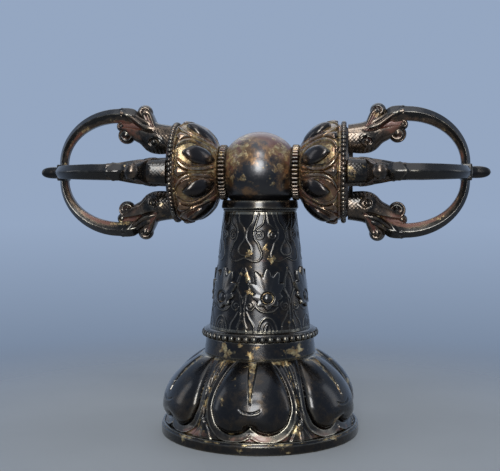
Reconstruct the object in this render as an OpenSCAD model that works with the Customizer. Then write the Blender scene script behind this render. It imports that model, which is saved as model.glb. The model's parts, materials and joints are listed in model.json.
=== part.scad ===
// Five-pronged dorje vajra lying in the collar of its lotus stand.
// Millimetres. +Z is up, X runs along the vajra and the front looks along -Y.
// The origin is the middle of the foot, where it stands on the table.

/* [Vajra] */
// length of the vajra from tip to tip
vajra_len = 225; // [215:1:245]
// radius of the ball in the middle
ball_r = 20.2; // [19:0.1:21]
// distance from the middle of the ball to its flat sides
ball_half = 16; // [15:0.1:17]
// radius of the hidden rod
rod_r = 2.8; // [2:0.1:3.2]
// depth of the rod in a central prong
rod_in = 8; // [5:0.1:12]
// length of the leaf-shaped tip past the bars
tip_len = 9.8; // [7:0.1:12]
// radius of the tip
tip_r = 2.9; // [2.2:0.1:3.6]
// half width of the block where the bars meet
knee_half = 4; // [3.6:0.1:4.5]
// radius of a central prong at the cup
stem_r = 5.4; // [4.6:0.1:6]

/* [Rings and cups] */
// width of a fluted inner ring
ring_w = 5.5; // [4:0.1:7]
// radius of an inner ring without its flutes
ring_r = 12.5; // [11.5:0.1:12.8]
// radius of a flute
flute_r = 0.88; // [0.7:0.01:0.96]
// distance of the ends of a flute from the flat sides of its ring
flute_in = 0.4; // [0.2:0.1:0.8]
// number of flutes on an inner ring
flutes = 40; // [32:1:42]
// length of a lotus cup
cup_len = 21.5; // [20:0.1:24]
// radius of a lotus cup at its wide end
cup_r = 23.6; // [23:0.1:25.5]
// height of the raised rim of a cup petal
cup_rim = 0.9; // [0.5:0.1:1.2]
// height of the almond boss on a cup petal
boss_h = 2.6; // [1.5:0.1:3.2]
// thickness of a beaded outer ring
plate_t = 3; // [2.4:0.1:4]
// radius of an outer ring to the middle of its beads
plate_r = 22.5; // [22:0.1:23]
// radius of a bead on an outer ring
cup_bead_r = 1.05; // [0.8:0.01:1.08]
// number of beads on an outer ring
cup_beads = 64; // [48:1:66]

/* [Prongs] */
// greatest distance of a bar from the long axis
prong_reach = 32.2; // [31:0.1:36]
// width of a bar at the mouth
bar_w = 7.6; // [5.5:0.1:8.4]
// radial thickness of a bar at its crown
bar_t = 7.2; // [6:0.1:8]
// width of a bar where it meets the block
bar_end_w = 6; // [4:0.1:7]
// thickness of a bar where it meets the block
bar_end_t = 4.4; // [3.5:0.1:5]
// length from the mouth to the crown of a bar
mouth_gap = 5.5; // [4.5:0.1:8]
// length of the end of a bar that is held in the mouth
root_in = 1.4; // [1:0.1:3]
// length of a sea-monster head
head_len = 20.5; // [19:0.1:22]
// half width of a head at the neck
neck_half = 6.3; // [5:0.1:7]
// half width of a head at the snout
snout_half = 3.9; // [3.4:0.1:4.4]
// distance of the throat from the long axis
throat = 9.3; // [8.8:0.1:10]
// depth of the snout below the crown of the bar
snout_drop = 16.8; // [16:0.1:17.5]
// depth of the brow below the crown of the bar
brow_drop = 3.2; // [2.6:0.1:4]
// radius of the curl at the end of the jaw leaf
curl_r = 3.5; // [3:0.1:4]
// width of that curl
curl_w = 7.4; // [6:0.1:8]
// depth of the middle of that curl below the crown of the bar
curl_drop = 2.4; // [2:0.1:3]
// radius of the curled trunk
trunk_r = 3.6; // [3:0.1:4]
// width of the curled trunk
trunk_w = 7; // [6:0.1:8]
// depth of the middle of the trunk below the crown of the bar
trunk_drop = 13.2; // [12.6:0.1:13.8]
// radius of the lip curl in front of the trunk
lip_r = 2.4; // [1.8:0.1:2.6]
// width of the lip curl
lip_w = 5.4; // [4.5:0.1:6]
// radius of an eye
eye_r = 2.1; // [1.6:0.1:2.6]
// radius of the peg that holds a prong
peg_r = 2.5; // [1.8:0.1:3]
// depth of the peg in the cup
peg_in = 6; // [4:0.1:9]
// distance of the peg from the long axis
peg_off = 16.2; // [15.5:0.1:17]

/* [Stand] */
// height of the long axis of the vajra above the table
axis_z = 128.9; // [122:0.1:136]
// radius of the foot
foot_r = 49.3; // [48.5:0.1:55]
// thickness of the foot
foot_h = 5.6; // [4:0.1:7]
// thickness of the wall of the hollow base
lotus_wall = 4.5; // [3:0.1:7]
// thickness of the roof of the hollow
lotus_roof = 2; // [1:0.1:4]
// distance of the petals from the edge of the foot
petal_inset = 4.3; // [3.5:0.1:5]
// height of the lotus above the foot
lotus_h = 34; // [29:0.5:36]
// swell of a lotus petal above its rim
swell = 5.6; // [4:0.1:6.5]
// height of the flat rim round a petal
petal_rim = 0.6; // [0.3:0.1:1]
// depth of the seam between two petals
seam_d = 1.1; // [0.6:0.1:1.6]
// depth of the vein of a petal
vein_d = 0.9; // [0.5:0.1:1.3]
// radius of the plain neck
neck_r = 27.5; // [27:0.1:29]
// height of the plain neck
neck_h = 8; // [6:0.5:10]
// radius of the bore that takes the spigot of the column
bore_r = 22.5; // [21.5:0.1:23]
// height of the moulding at the foot of the column
moulding_h = 4.5; // [4:0.1:6]
// radius of that moulding to the middle of its beads
moulding_r = 27.7; // [27.2:0.1:28.5]
// radius of a bead on that moulding
column_bead_r = 1.75; // [1.4:0.01:1.85]
// number of beads on that moulding
column_beads = 46; // [36:1:47]
// radius of the column at its foot
column_foot_r = 25; // [24.5:0.1:26]
// radius of the column under the collar
column_top_r = 18; // [17.5:0.1:19]
// radius of the core hole that runs up the column from below
core_r = 10; // [6:0.1:11]
// length of the plug under the collar that closes the core hole
core_top = 12; // [8:0.5:20]
// number of reliefs on the column
emblems = 6; // [4:1:6]
// turn of the first relief away from the front
emblem_turn = 14.5; // [0:0.5:60]
// height of the reliefs above the face of the column
relief_h = 1.2; // [0.8:0.1:1.6]
// height of the jewels above the foot of the column
jewel_z = 16.5; // [14:0.5:24]
// radius of the jewel in a relief
jewel_r = 4; // [3:0.1:4.5]
// length of a flame in a relief
flame_len = 12; // [8:0.1:14]
// width of a flame in a relief
flame_w = 5.4; // [3:0.1:6]
// lean of the outer flames in a relief
flame_lean = 26; // [18:1:32]
// height of the collar
collar_h = 5.6; // [5:0.1:7]
// overhang of the collar past the column
collar_out = 1.1; // [0.6:0.1:1.6]
// depth to which the ball sits below the top of the collar
seat_d = 6.5; // [5.5:0.1:6.5]
// space between the ball and its seat
seat_gap = 0.3; // [0.2:0.05:0.5]
// free radius round a rod or peg in its bore
fit = 0.05; // [0.02:0.01:0.1]

/* [Hidden] */

$fn = 96;
bronze = [0.16, 0.14, 0.12];
brown = [0.30, 0.20, 0.13];
gilt = [0.66, 0.50, 0.22];
// amount by which a cutting shape runs past the face it cuts
past = 1;

// stations along the vajra, measured from the middle of the ball
x_cup = ball_half + ring_w;
x_plate = x_cup + cup_len;
x_neck = x_plate + plate_t;
x_mouth = x_neck + head_len;
x_crown = x_mouth + mouth_gap;
x_knee = vajra_len / 2 - tip_len;

// half length of the curve of a bar, and the angle by which the curve runs back into the mouth
bar_run = x_knee - bar_end_t / 2 - x_crown;
root_turn = asin((mouth_gap + root_in) / bar_run);

// radius of the hollow under the base
hollow_r = foot_r - petal_inset - lotus_wall;

// levels of the stand
z_neck = foot_h + lotus_h;
z_moulding = z_neck + neck_h;
z_column = z_moulding + moulding_h;
z_collar_top = axis_z - ball_r + seat_d;
z_collar = z_collar_top - collar_h;

// petals of the base and of a cup, and the angle of half a petal
petals = 6;
petal_half = 180 / petals;
cup_petals = 8;
cup_half = 180 / cup_petals;

// helpers

// eases from 0 to 1 while x goes from a to b
function ease(a, b, x) = let (t = min(1, max(0, (x - a) / (b - a)))) t * t * (3 - 2 * t);

// goes from a to b while t goes from 0 to 1
function blend(a, b, t) = a + (b - a) * t;

// points on an arc about c, from angle a to angle b
function arc(c, r, a, b, n = 8) =
    [for (i = [0:n]) let (t = blend(a, b, i / n)) c + r * [cos(t), sin(t)]];

// middle of a list of points
function centre(ring) = [for (p = ring) 1] * ring / len(ring);

// closed skin over rings that all have the same number of points
module loft(rings) {
    n = len(rings[0]);
    last = len(rings) - 1;
    top = n * last;
    tail = n * (last + 1);
    sides = [
        for (i = [0:last - 1], j = [0:n - 1])
            let (a = i * n + j, b = i * n + (j + 1) % n)
                each [[a, a + n, b + n], [a, b + n, b]]
    ];
    ends = [
        for (j = [0:n - 1])
            let (k = (j + 1) % n)
                each [[j, k, tail], [top + k, top + j, tail + 1]]
    ];
    polyhedron(
        points = [for (ring = concat(rings, [[centre(rings[0]), centre(rings[last])]])) each ring],
        faces = concat(sides, ends)
    );
}

// round shape about the X axis from a profile of [radius, x] points
module turned(profile) {
    rotate([0, 90, 0])
        rotate_extrude()
            polygon(profile);
}

// round bar along X
module rod(r, from, to) {
    translate([from, 0, 0])
        rotate([0, 90, 0])
            cylinder(r = r, h = to - from);
}

// places one end of the vajra, side 1 is right and side -1 is left, roll turns it about the long axis
module at_end(side, roll = 0) {
    translate([0, 0, axis_z])
        rotate([0, 0, side > 0 ? 0 : 180])
            rotate([roll, 0, 0])
                children();
}

// stand

// foot flange with a raised line near its edge
module foot_ring() {
    soft = 1;
    line = 0.6;
    profile = concat(
        [[hollow_r, 0]],
        arc([foot_r - soft, soft], soft, -90, 0),
        arc([foot_r - soft, foot_h - line - soft], soft, 0, 90),
        [[foot_r - soft - line, foot_h - line], [foot_r - soft - 1.5 * line, foot_h], [hollow_r, foot_h]]
    );
    color(bronze)
        rotate_extrude()
            polygon(profile);
}

// where points lie from the middle of a heart-shaped swelling to its edge
heart_steps = [0, 0.06, 0.25, 0.5, 0.72, 0.88, 0.97, 1];
// where points lie from the edge of the swelling to the seam
rim_steps = [0.25, 0.85];

// place of the lobes of the heart at share v of the height, and the reach of a lobe to the side
function heart_lobe(v) = 0.36 * ease(0.38, 0.2, v);
function heart_half(v) =
    v < 0.44 ? 0.85 - heart_lobe(v) : 0.30 + 0.55 * sqrt(max(0, 1 - pow((v - 0.44) / 0.6, 2)));
function heart_low(v) = v < 0.44 ? pow((v - 0.44) / 0.34, 2) : 0;

// how far out the point at share q across half a petal lies in the heart, 1 is its edge
function heart(q, v) = pow((q - heart_lobe(v)) / heart_half(v), 2) + heart_low(v);

// share across half a petal at which the heart ends
function heart_edge(v) = heart_lobe(v) + heart_half(v) * sqrt(max(0, 1 - heart_low(v)));

// radius of the plain wall behind the petals at share v of its height
function wall_radius(v) = blend(foot_r - petal_inset, neck_r + 0.5, pow(v, 2.7));

// radius of the lotus at share v of its height and share q across half a petal
function lotus_radius(v, q) =
    let (
        height = swell * sqrt(max(0, 1 - pow(abs(v - 0.45) / 0.58, 2.3))),
        pillow = pow(max(0, 1 - heart(q, v)), 0.42),
        vein = q < 0.005 ? vein_d * ease(0.42, 0.55, v) * ease(1, 0.9, v) : 0,
        rim = petal_rim * ease(1.02, 1.2, heart(q, v)) * ease(1, 0.9, v),
        seam = seam_d * ease(0.97, 1, q) * ease(1, 0.85, v)
    )
    wall_radius(v) + height * pillow + rim - vein - seam;

// shares across half a petal at which points lie at share v of the height
function petal_shares(v) =
    let (edge = heart_edge(v))
        concat([for (f = heart_steps) f * edge], [for (f = rim_steps) blend(edge, 1, f)]);

// ring of points round the lotus at share v of its height
function lotus_ring(v) =
    let (shares = petal_shares(v), last = len(shares) - 1)
        [
            for (k = [0:petals - 1], j = [-last - 1:last])
                let (
                    q = j < -last ? -1 : sign(j) * shares[abs(j)],
                    a = -90 + petal_half * (2 * k + q),
                    r = lotus_radius(v, abs(q))
                )
                    [r * cos(a), r * sin(a), foot_h + lotus_h * v]
        ];

// hollow base with six heart-shaped petals
module lotus_base() {
    rows = 15;
    steps = 12;
    top = 1 - lotus_roof / lotus_h;
    hollow = concat(
        [[0, -past], [hollow_r, -past]],
        [for (i = [0:steps]) let (v = top * i / steps) [wall_radius(v) - lotus_wall, lotus_h * v]],
        [[0, lotus_h * top]]
    );
    color(bronze)
        difference() {
            loft([for (i = [0:rows]) lotus_ring(pow(i / rows, 1.3))]);
            translate([0, 0, foot_h]) {
                rotate_extrude()
                    polygon(hollow);
                cylinder(r = bore_r, h = lotus_h + past);
            }
        }
}

// plain drum between lotus and column
module neck_ring() {
    soft = 0.8;
    color(bronze)
        translate([0, 0, z_neck])
            rotate_extrude()
                polygon([
                    [bore_r, 0],
                    [neck_r, 0],
                    [neck_r, neck_h - soft],
                    [neck_r - soft, neck_h],
                    [bore_r, neck_h]
                ]);
}

// moulding with a row of beads at the foot of the column
module column_bead_ring() {
    round_r = 1.9;
    profile = concat(
        [[bore_r, 0], [moulding_r - 0.6, 0]],
        arc([moulding_r + 0.3 - round_r, moulding_h - round_r], round_r, -20, 90),
        [[bore_r, moulding_h]]
    );
    color(bronze)
        translate([0, 0, z_moulding])
            union() {
                rotate_extrude()
                    polygon(profile);
                for (k = [0:column_beads - 1])
                    rotate([0, 0, 360 * (k + 0.5) / column_beads])
                        translate([moulding_r, 0, column_bead_r + fit])
                            sphere(r = column_bead_r, $fn = 24);
            }
}

// solid cone of the column made larger all round by grow
module column_cone(grow) {
    translate([0, 0, z_column])
        cylinder(r1 = column_foot_r + grow, r2 = column_top_r + grow, h = z_collar - z_column);
}

// tapered tube with a spigot into the neck, open at both ends
module column() {
    spigot = moulding_h + neck_h;
    tall = z_collar - z_column + spigot;
    color(bronze)
        difference() {
            union() {
                column_cone(0);
                translate([0, 0, z_column - spigot])
                    cylinder(r = bore_r - fit, h = spigot + past);
            }
            translate([0, 0, z_column - spigot - past])
                cylinder(r = core_r, h = tall + 2 * past);
            translate([0, 0, axis_z])
                sphere(r = ball_r + seat_gap);
        }
}

// pointed flame bounded by two arcs, drawn through the front of the column
module flame() {
    bow = (pow(flame_len, 2) + pow(flame_w, 2)) / (4 * flame_w);
    intersection_for (s = [-1, 1])
        translate([s * (bow - flame_w / 2), 0, 0.6 * jewel_r + flame_len / 2])
            rotate([90, 0, 0])
                cylinder(r = bow, h = 2 * column_foot_r);
}

// one jewel with three flames, drawn through the front of the column
module jewel() {
    rotate([90, 0, 0])
        cylinder(r = jewel_r, h = 2 * column_foot_r);
    for (k = [-1:1])
        rotate([0, k * flame_lean, 0])
            flame();
}

// raised flaming jewels on the column
module column_emblems() {
    color(gilt)
        for (k = [0:emblems - 1])
            intersection() {
                difference() {
                    column_cone(relief_h);
                    column_cone(0);
                }
                rotate([0, 0, emblem_turn + 360 * k / emblems])
                    translate([0, 0, z_column + jewel_z])
                        jewel();
            }
}

// collar with a plug for the core hole and the round seat for the ball
module column_collar() {
    soft = 0.8;
    lip = 1.3;
    low_r = column_top_r + 0.4 * collar_out;
    top_r = column_top_r + collar_out;
    plug_r = core_r - fit;
    profile = concat(
        [[0, -core_top], [plug_r, -core_top], [plug_r, 0]],
        arc([low_r - soft / 2, soft / 2], soft / 2, -90, 0),
        [[low_r, lip], [low_r - 0.3, lip + 0.2]],
        arc([top_r - soft, collar_h - soft], soft, 0, 90),
        [[0, collar_h]]
    );
    color(bronze)
        difference() {
            translate([0, 0, z_collar])
                rotate_extrude()
                    polygon(profile);
            translate([0, 0, axis_z])
                sphere(r = ball_r + seat_gap);
        }
}

// vajra, middle

// polished ball with flat sides and a bore for the rod
module hub_ball() {
    color(bronze)
        translate([0, 0, axis_z])
            difference() {
                intersection() {
                    sphere(r = ball_r);
                    rod(ball_r + past, -ball_half, ball_half);
                }
                rod(rod_r + fit, -ball_half - past, ball_half + past);
            }
}

// hidden rod that holds the two halves together
module core_rod() {
    color(brown)
        translate([0, 0, axis_z])
            rod(rod_r, -x_neck - rod_in, x_neck + rod_in);
}

// fluted ring between ball and cup
module inner_ring(side) {
    color(bronze)
        at_end(side)
            difference() {
                union() {
                    rod(ring_r, ball_half, x_cup);
                    for (k = [0:flutes - 1])
                        rotate([360 * (k + 0.5) / flutes, 0, 0])
                            translate([0, 0, ring_r])
                                rod(flute_r, ball_half + flute_in, x_cup - flute_in, $fn = 24);
                }
                rod(rod_r + fit, ball_half - past, x_cup + past);
            }
}

// where points lie from the middle of a cup petal outward: boss, field, rim and gap
cup_steps = [0, 0.25, 0.45, 0.62, 0.78, 0.84, 0.97, 1.04];

// half width of a cup petal at share u of the cup, as a share of the room it has
function cup_petal(u) =
    u < 0.6
        ? 0.45 + 0.48 * sqrt(1 - pow((0.6 - u) / 0.6, 2))
        : 0.15 + 0.78 * sqrt(max(0, 1 - pow((u - 0.6) / 0.38, 2)));

// radius of the cup at share u of its length and share e across half a petal
function cup_radius(u, e) =
    let (
        bowl = blend(ring_r + flute_r, cup_r, 1 - pow(1 - u, 2.4)),
        rim = e > 0.8 && e < 1 ? cup_rim * ease(0, 0.12, u) * ease(1, 0.95, u) : 0,
        point = max(0.01, 1 - pow((u - 0.45) / 0.5, 2)),
        dome = sqrt(max(0, point - pow(e / 0.7, 2) / point)),
        boss = boss_h * dome * ease(0, 0.2, u)
    )
    bowl + rim + boss;

// ring of points round the cup at share u of its length
function cup_ring(u) =
    let (wide = cup_petal(u), last = len(cup_steps) - 1)
        [
            for (k = [0:cup_petals - 1], j = [-last - 1:last])
                let (
                    e = j < -last ? 1 / wide : cup_steps[abs(j)],
                    a = cup_half * (2 * k + 1 + sign(j) * e * wide),
                    r = cup_radius(u, e)
                )
                    [x_cup + cup_len * u, r * cos(a), r * sin(a)]
        ];

// lotus cup with eight petals, bored for the rod and for the pegs of the prongs
module calyx(side) {
    rows = 12;
    color(brown)
        at_end(side)
            difference() {
                loft([for (i = [0:rows]) cup_ring(1 - pow(1 - i / rows, 1.4))]);
                rod(rod_r + fit, x_cup - past, x_plate + past);
                for (turn = [0:90:270])
                    rotate([turn, 0, 0])
                        translate([0, 0, peg_off])
                            rod(peg_r + fit, x_plate - peg_in - past, x_plate + past);
            }
}

// plate with a beaded edge that closes the cup
module outer_ring(side) {
    color(bronze)
        at_end(side)
            difference() {
                union() {
                    rod(plate_r, x_plate, x_neck);
                    for (k = [0:cup_beads - 1])
                        rotate([360 * (k + 0.5) / cup_beads, 0, 0])
                            translate([x_plate + plate_t / 2, 0, plate_r])
                                sphere(r = cup_bead_r, $fn = 24);
                }
                rod(rod_r + fit, x_plate - past, x_neck + past);
                for (turn = [0:90:270])
                    rotate([turn, 0, 0])
                        translate([0, 0, peg_off])
                            rod(peg_r + fit, x_plate - past, x_neck + past);
            }
}

// prongs

// section of the head at share s of its length: rounded box between throat and brow
function head_ring(s) =
    let (
        n = 14,
        low = blend(throat, prong_reach - snout_drop, ease(0.42, 0.85, s)),
        high = blend(plate_r + cup_bead_r / 2, prong_reach - brow_drop, ease(0.12, 0.6, s)),
        cheek = 0.5 * exp(-pow((s - 0.33) / 0.2, 2)),
        half = blend(neck_half, snout_half, ease(0.2, 1, s)) + cheek
    )
    [
        for (j = [0:n - 1])
            let (c = cos(360 * (j + 0.5) / n), d = sin(360 * (j + 0.5) / n))
                [
                    x_neck + head_len * s,
                    half * sign(c) * pow(abs(c), 0.7),
                    blend(low, high, 0.5 + 0.5 * sign(d) * pow(abs(d), 0.8))
                ]
    ];

// middle of the curl at the end of the jaw leaf, in [x, z]
curl_at = [x_neck + 0.58 * head_len, prong_reach - curl_drop];

// section of the jaw leaf at share s of its way from the cheek to its curl
function leaf_ring(s) =
    let (
        from = [x_neck + 0.2 * head_len, peg_off + peg_r],
        bend = [0.4 * curl_at[0] + 0.6 * from[0], blend(from[1], curl_at[1], 0.3)],
        middle = pow(1 - s, 2) * from + 2 * s * (1 - s) * bend + pow(s, 2) * curl_at,
        along = (1 - s) * (bend - from) + s * (curl_at - bend),
        out = [-along[1], along[0]] / norm(along),
        thick = blend(0.4 * curl_r, 0.75 * curl_r, s),
        half = blend(neck_half + 0.9, 0.9 * curl_r, s)
    )
    [
        for (corner = [[1, 0], [0.6, 1], [-0.6, 1], [-1, 0], [-0.6, -1], [0.6, -1]])
            let (spot = middle + out * thick * corner[1])
                [spot[0], half * corner[0], spot[1]]
    ];

// corners of the bar as shares of its half width and thickness: a ridge outside and one on each flank
bar_corners = [[1, 0.1], [0.14, 0.5], [-0.14, 0.5], [-1, 0.1], [-0.5, -0.5], [0.5, -0.5]];

// section of the bar at angle t on its curve
function bar_ring(t) =
    let (
        tall = prong_reach - bar_t / 2 - knee_half,
        slim = ease(0, 90, t),
        flare = ease(0, -root_turn, t),
        thick = blend(bar_t, bar_end_t, slim) * (1 + 0.17 * flare),
        half = blend(bar_w, bar_end_w, slim) / 2 * (1 + 0.12 * flare),
        middle = [x_crown + bar_run * sin(t), knee_half + tall * cos(t)],
        away = [tall * sin(t), bar_run * cos(t)],
        out = away / norm(away)
    )
    [
        for (corner = bar_corners)
            let (spot = middle + out * thick * corner[1])
                [spot[0], half * corner[0], spot[1]]
    ];

// curled leaf or trunk seen as a short drum with rounded ends across the head
module curl(r, width, x, z) {
    soft = 0.5 * r;
    profile = concat(
        [[0, -width / 2]],
        arc([r - soft, -width / 2 + soft], soft, -90, 0, 4),
        arc([r - soft, width / 2 - soft], soft, 0, 90, 4),
        [[0, width / 2]]
    );
    translate([x, 0, z])
        rotate([90, 0, 0])
            rotate_extrude($fn = 48)
                polygon(profile);
}

// one prong pointing up: head, jaw leaf, curls, eyes, bar and the peg that holds it in the cup
module prong(side, roll) {
    eye_x = x_neck + 0.34 * head_len;
    color(bronze)
        at_end(side, roll)
            union() {
                loft([for (i = [0:9]) head_ring(i / 9)]);
                loft([for (i = [0:5]) leaf_ring(i / 5)]);
                loft([for (i = [0:13]) bar_ring(blend(-root_turn, 90, i / 13))]);
                curl(curl_r, curl_w, curl_at[0], curl_at[1]);
                curl(trunk_r, trunk_w, x_mouth, prong_reach - trunk_drop);
                curl(lip_r, lip_w, x_mouth + 0.8 * lip_r, prong_reach - trunk_drop + trunk_r);
                for (flank = [-1, 1])
                    translate([eye_x, flank * (neck_half - eye_r / 2), peg_off - eye_r / 3])
                        sphere(r = eye_r, $fn = 32);
                translate([0, 0, peg_off])
                    rod(peg_r, x_plate - peg_in, x_neck + 2, $fn = 48);
            }
}

// straight middle prong with the block that meets the bars and the leaf-shaped tip
module central_prong(side) {
    edge = 0.8;
    join = 0.5;
    block_from = x_knee - bar_end_t - edge;
    block_to = x_knee + edge;
    tip_from = block_to - join;
    tip_reach = vajra_len / 2 - tip_from;
    stem = [
        [0, x_neck],
        [stem_r, x_neck],
        [stem_r, x_neck + 2 * edge],
        [stem_r - edge, x_neck + 4 * edge],
        [knee_half - edge, block_from + join],
        [0, block_from + join]
    ];
    tip = concat(
        [[0, tip_from]],
        [for (i = [0:9]) [tip_r * sqrt(1 - pow(i / 10, 4)), tip_from + tip_reach * i / 10]],
        [[0, vajra_len / 2]]
    );
    color(bronze)
        at_end(side)
            difference() {
                union() {
                    turned(stem);
                    translate([block_from, -knee_half, -knee_half])
                        cube([block_to - block_from, 2 * knee_half, 2 * knee_half]);
                    turned(tip);
                }
                rod(rod_r + fit, x_neck - past, x_neck + rod_in);
            }
}

module left_inner_ring() { inner_ring(-1); }
module right_inner_ring() { inner_ring(1); }
module left_calyx() { calyx(-1); }
module right_calyx() { calyx(1); }
module left_outer_ring() { outer_ring(-1); }
module right_outer_ring() { outer_ring(1); }
module left_top_prong() { prong(-1, 0); }
module left_bottom_prong() { prong(-1, 180); }
module left_front_prong() { prong(-1, -90); }
module left_back_prong() { prong(-1, 90); }
module right_top_prong() { prong(1, 0); }
module right_bottom_prong() { prong(1, 180); }
module right_front_prong() { prong(1, 90); }
module right_back_prong() { prong(1, -90); }
module left_central_prong() { central_prong(-1); }
module right_central_prong() { central_prong(1); }

foot_ring();
lotus_base();
neck_ring();
column_bead_ring();
column();
column_emblems();
column_collar();
hub_ball();
core_rod();
left_inner_ring();
right_inner_ring();
left_calyx();
right_calyx();
left_outer_ring();
right_outer_ring();
left_top_prong();
left_bottom_prong();
left_front_prong();
left_back_prong();
right_top_prong();
right_bottom_prong();
right_front_prong();
right_back_prong();
left_central_prong();
right_central_prong();
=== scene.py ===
# %% [markdown]
# # A five-pronged vajra on its lotus stand
#
# The object is a cast and chased bronze. A double-ended vajra lies in the collar of a tapered
# column, and the column stands on a lotus with six heart-shaped petals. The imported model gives
# the place and size of every piece. This script gives each piece the carving and the old,
# worn finish that the solids leave out. Lengths are in millimetres until a mesh is written.

# %% Load the frame
import json
import math

import bpy
import numpy as np
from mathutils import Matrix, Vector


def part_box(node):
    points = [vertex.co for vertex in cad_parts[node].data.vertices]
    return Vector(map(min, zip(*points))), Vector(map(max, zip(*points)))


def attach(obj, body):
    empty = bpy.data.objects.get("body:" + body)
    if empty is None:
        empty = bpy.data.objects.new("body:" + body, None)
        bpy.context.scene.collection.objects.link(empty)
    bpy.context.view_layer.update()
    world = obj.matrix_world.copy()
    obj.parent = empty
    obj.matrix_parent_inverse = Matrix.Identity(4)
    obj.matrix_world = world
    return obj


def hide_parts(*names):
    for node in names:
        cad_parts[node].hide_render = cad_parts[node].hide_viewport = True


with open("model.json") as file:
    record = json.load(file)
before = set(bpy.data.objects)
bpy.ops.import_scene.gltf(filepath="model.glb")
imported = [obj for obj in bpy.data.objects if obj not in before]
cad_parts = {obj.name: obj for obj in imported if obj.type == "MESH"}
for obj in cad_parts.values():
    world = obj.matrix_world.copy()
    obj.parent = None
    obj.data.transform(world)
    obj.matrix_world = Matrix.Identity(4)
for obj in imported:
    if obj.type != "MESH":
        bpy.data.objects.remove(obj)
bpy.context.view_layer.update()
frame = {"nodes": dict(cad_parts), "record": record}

MM = 0.001
BODY_OF = {n: body for body, nodes in frame["record"]["behaviour"]["bodies"].items() for n in nodes}

# %% [markdown]
# ## Levels and stations
#
# The carved skins replace the plain solids, so they take their levels from the solids' boxes.
# A designer would measure the casting. Here the frame is the measure, and what the
# boxes don't tell, such as the width of a bead, stands as a named size at its piece. The
# photograph shows the cups and their beads a little nearer the ball, and the rings of beads a
# little wider, than the solids have them.

# %% Read the levels of the stand and the stations of the vajra
CUP_NEARER, PLATE_NEARER = 1.4, 3.0


def span(node):
    """Lowest and highest corner of a node, in millimetres."""
    low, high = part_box(node)
    return np.array(low) / MM, np.array(high) / MM


foot_r, _, foot_h = span("foot_ring")[1]
z_neck, z_moulding = (span(n)[0][2] for n in ("neck_ring", "column_bead_ring"))
z_column, z_collar = (span(n)[1][2] for n in ("column_bead_ring", "column"))
z_collar_top = span("column_collar")[1][2]
lotus_h = z_neck - foot_h
ball_half, ball_r = span("hub_ball")[1][:2]
axis_z = np.mean([corner[2] for corner in span("hub_ball")])
x_cup, x_plate = (corner[0] for corner in span("right_calyx"))
x_neck = span("right_outer_ring")[1][0]
x_tip = span("right_central_prong")[1][0]
cup_start, cup_end = x_cup - CUP_NEARER, x_plate - PLATE_NEARER
print(f"long axis {axis_z:.1f} mm up, tips {2 * x_tip:.1f} mm apart, lotus {foot_h:.1f} to {z_neck:.1f}")

# %% [markdown]
# ## Tools for surfaces
#
# Every piece is a surface over a grid: rows run along it and columns run round it. It could
# be sculpted by hand, but a formula on whole arrays repeats exactly and is easy
# to correct. One tool closes a grid into a skin, and it also measures how far each point stands
# out of its surroundings. The finish later wears what stands out, as hands do on the real bronze,
# and leaves old gilding and a darker colour in what lies deep.

# %% Curves and blends


def ease(a, b, x):
    """Goes from 0 to 1 while x goes from a to b, with a soft start and end: 3t^2 - 2t^3."""
    t = np.clip((x - a) / (b - a), 0, 1)
    return t * t * (3 - 2 * t)


def ridge(distance, width):
    """Bell of height 1 over a line, from the distance to the line: exp(-(distance / width)^2)."""
    return np.exp(-((distance / width) ** 2))


def band(x, start, end, soft):
    """1 between start and end and 0 outside, with soft edges: the product of two eases."""
    return ease(start - soft, start + soft, x) * ease(end + soft, end - soft, x)


def dome(reach, power=2):
    """Round rise, 1 in the middle and 0 from the edge on, where reach is 1: sqrt(1 - |reach|^power)."""
    return np.sqrt(np.maximum(0, 1 - np.abs(reach) ** power))


def signed_power(x, power):
    """x to a power with its sign kept, which turns a circle into a rounded box."""
    return np.sign(x) * np.abs(x) ** power


def flow(stops, x):
    """Smooth curve through [place, value] stops: cubic pieces that have the mean slope at each stop."""
    place, value = np.array(stops, float).T
    slope = np.gradient(value, place)
    i = np.clip(np.searchsorted(place, x) - 1, 0, len(place) - 2)
    step = place[i + 1] - place[i]
    t = np.clip((x - place[i]) / step, 0, 1)
    start = value[i] * (1 + 2 * t) * (1 - t) ** 2 + step * slope[i] * t * (1 - t) ** 2
    return start + value[i + 1] * t * t * (3 - 2 * t) - step * slope[i + 1] * t * t * (1 - t)


def drawn(stops, count):
    """Smooth line through points of a plane: each coordinate flows through its stops at even steps."""
    places = np.linspace(0, 1, len(stops))
    t = np.linspace(0, 1, count)
    return np.stack([flow(np.stack([places, values], -1), t) for values in np.array(stops, float).T], -1)


# %% Grids, and grids round an axis


def circle(count, shift=0.0):
    """Angles all the way round in equal steps, the first one a share of a step in."""
    return (np.arange(count) + shift) * 2 * np.pi / count


def grid(x, y, z):
    """Points of a grid from coordinates that may each be a row, a column, a number or the whole grid."""
    return np.stack(np.broadcast_arrays(x, y, z), -1)


def about_z(radius, angle, z):
    """Points round the upright axis: (r cos a, r sin a, z)."""
    return grid(radius * np.cos(angle), radius * np.sin(angle), z)


def about_x(radius, angle, x):
    """Points round the long axis: (x, r cos a, r sin a)."""
    return grid(x, radius * np.cos(angle), radius * np.sin(angle))


# %% How far a point stands out
LEAST_CELL, MOST_STEPS = 0.05, 12


def blur(values, steps, axis, closed):
    """Mean of each value and its neighbours up to some steps away along one axis of the grid."""
    pad = [(0, 0)] * values.ndim
    pad[axis] = (steps, steps)
    wide = np.pad(values, pad, mode="wrap" if closed else "edge")
    count = values.shape[axis]
    return sum(np.take(wide, range(i, i + count), axis) for i in range(2 * steps + 1)) / (2 * steps + 1)


def slope_of(points, axis, closed):
    """Change of the points along one axis of the grid, over two steps where it is closed."""
    if closed:
        return np.roll(points, -1, axis) - np.roll(points, 1, axis)
    return np.gradient(points, axis=axis)


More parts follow.
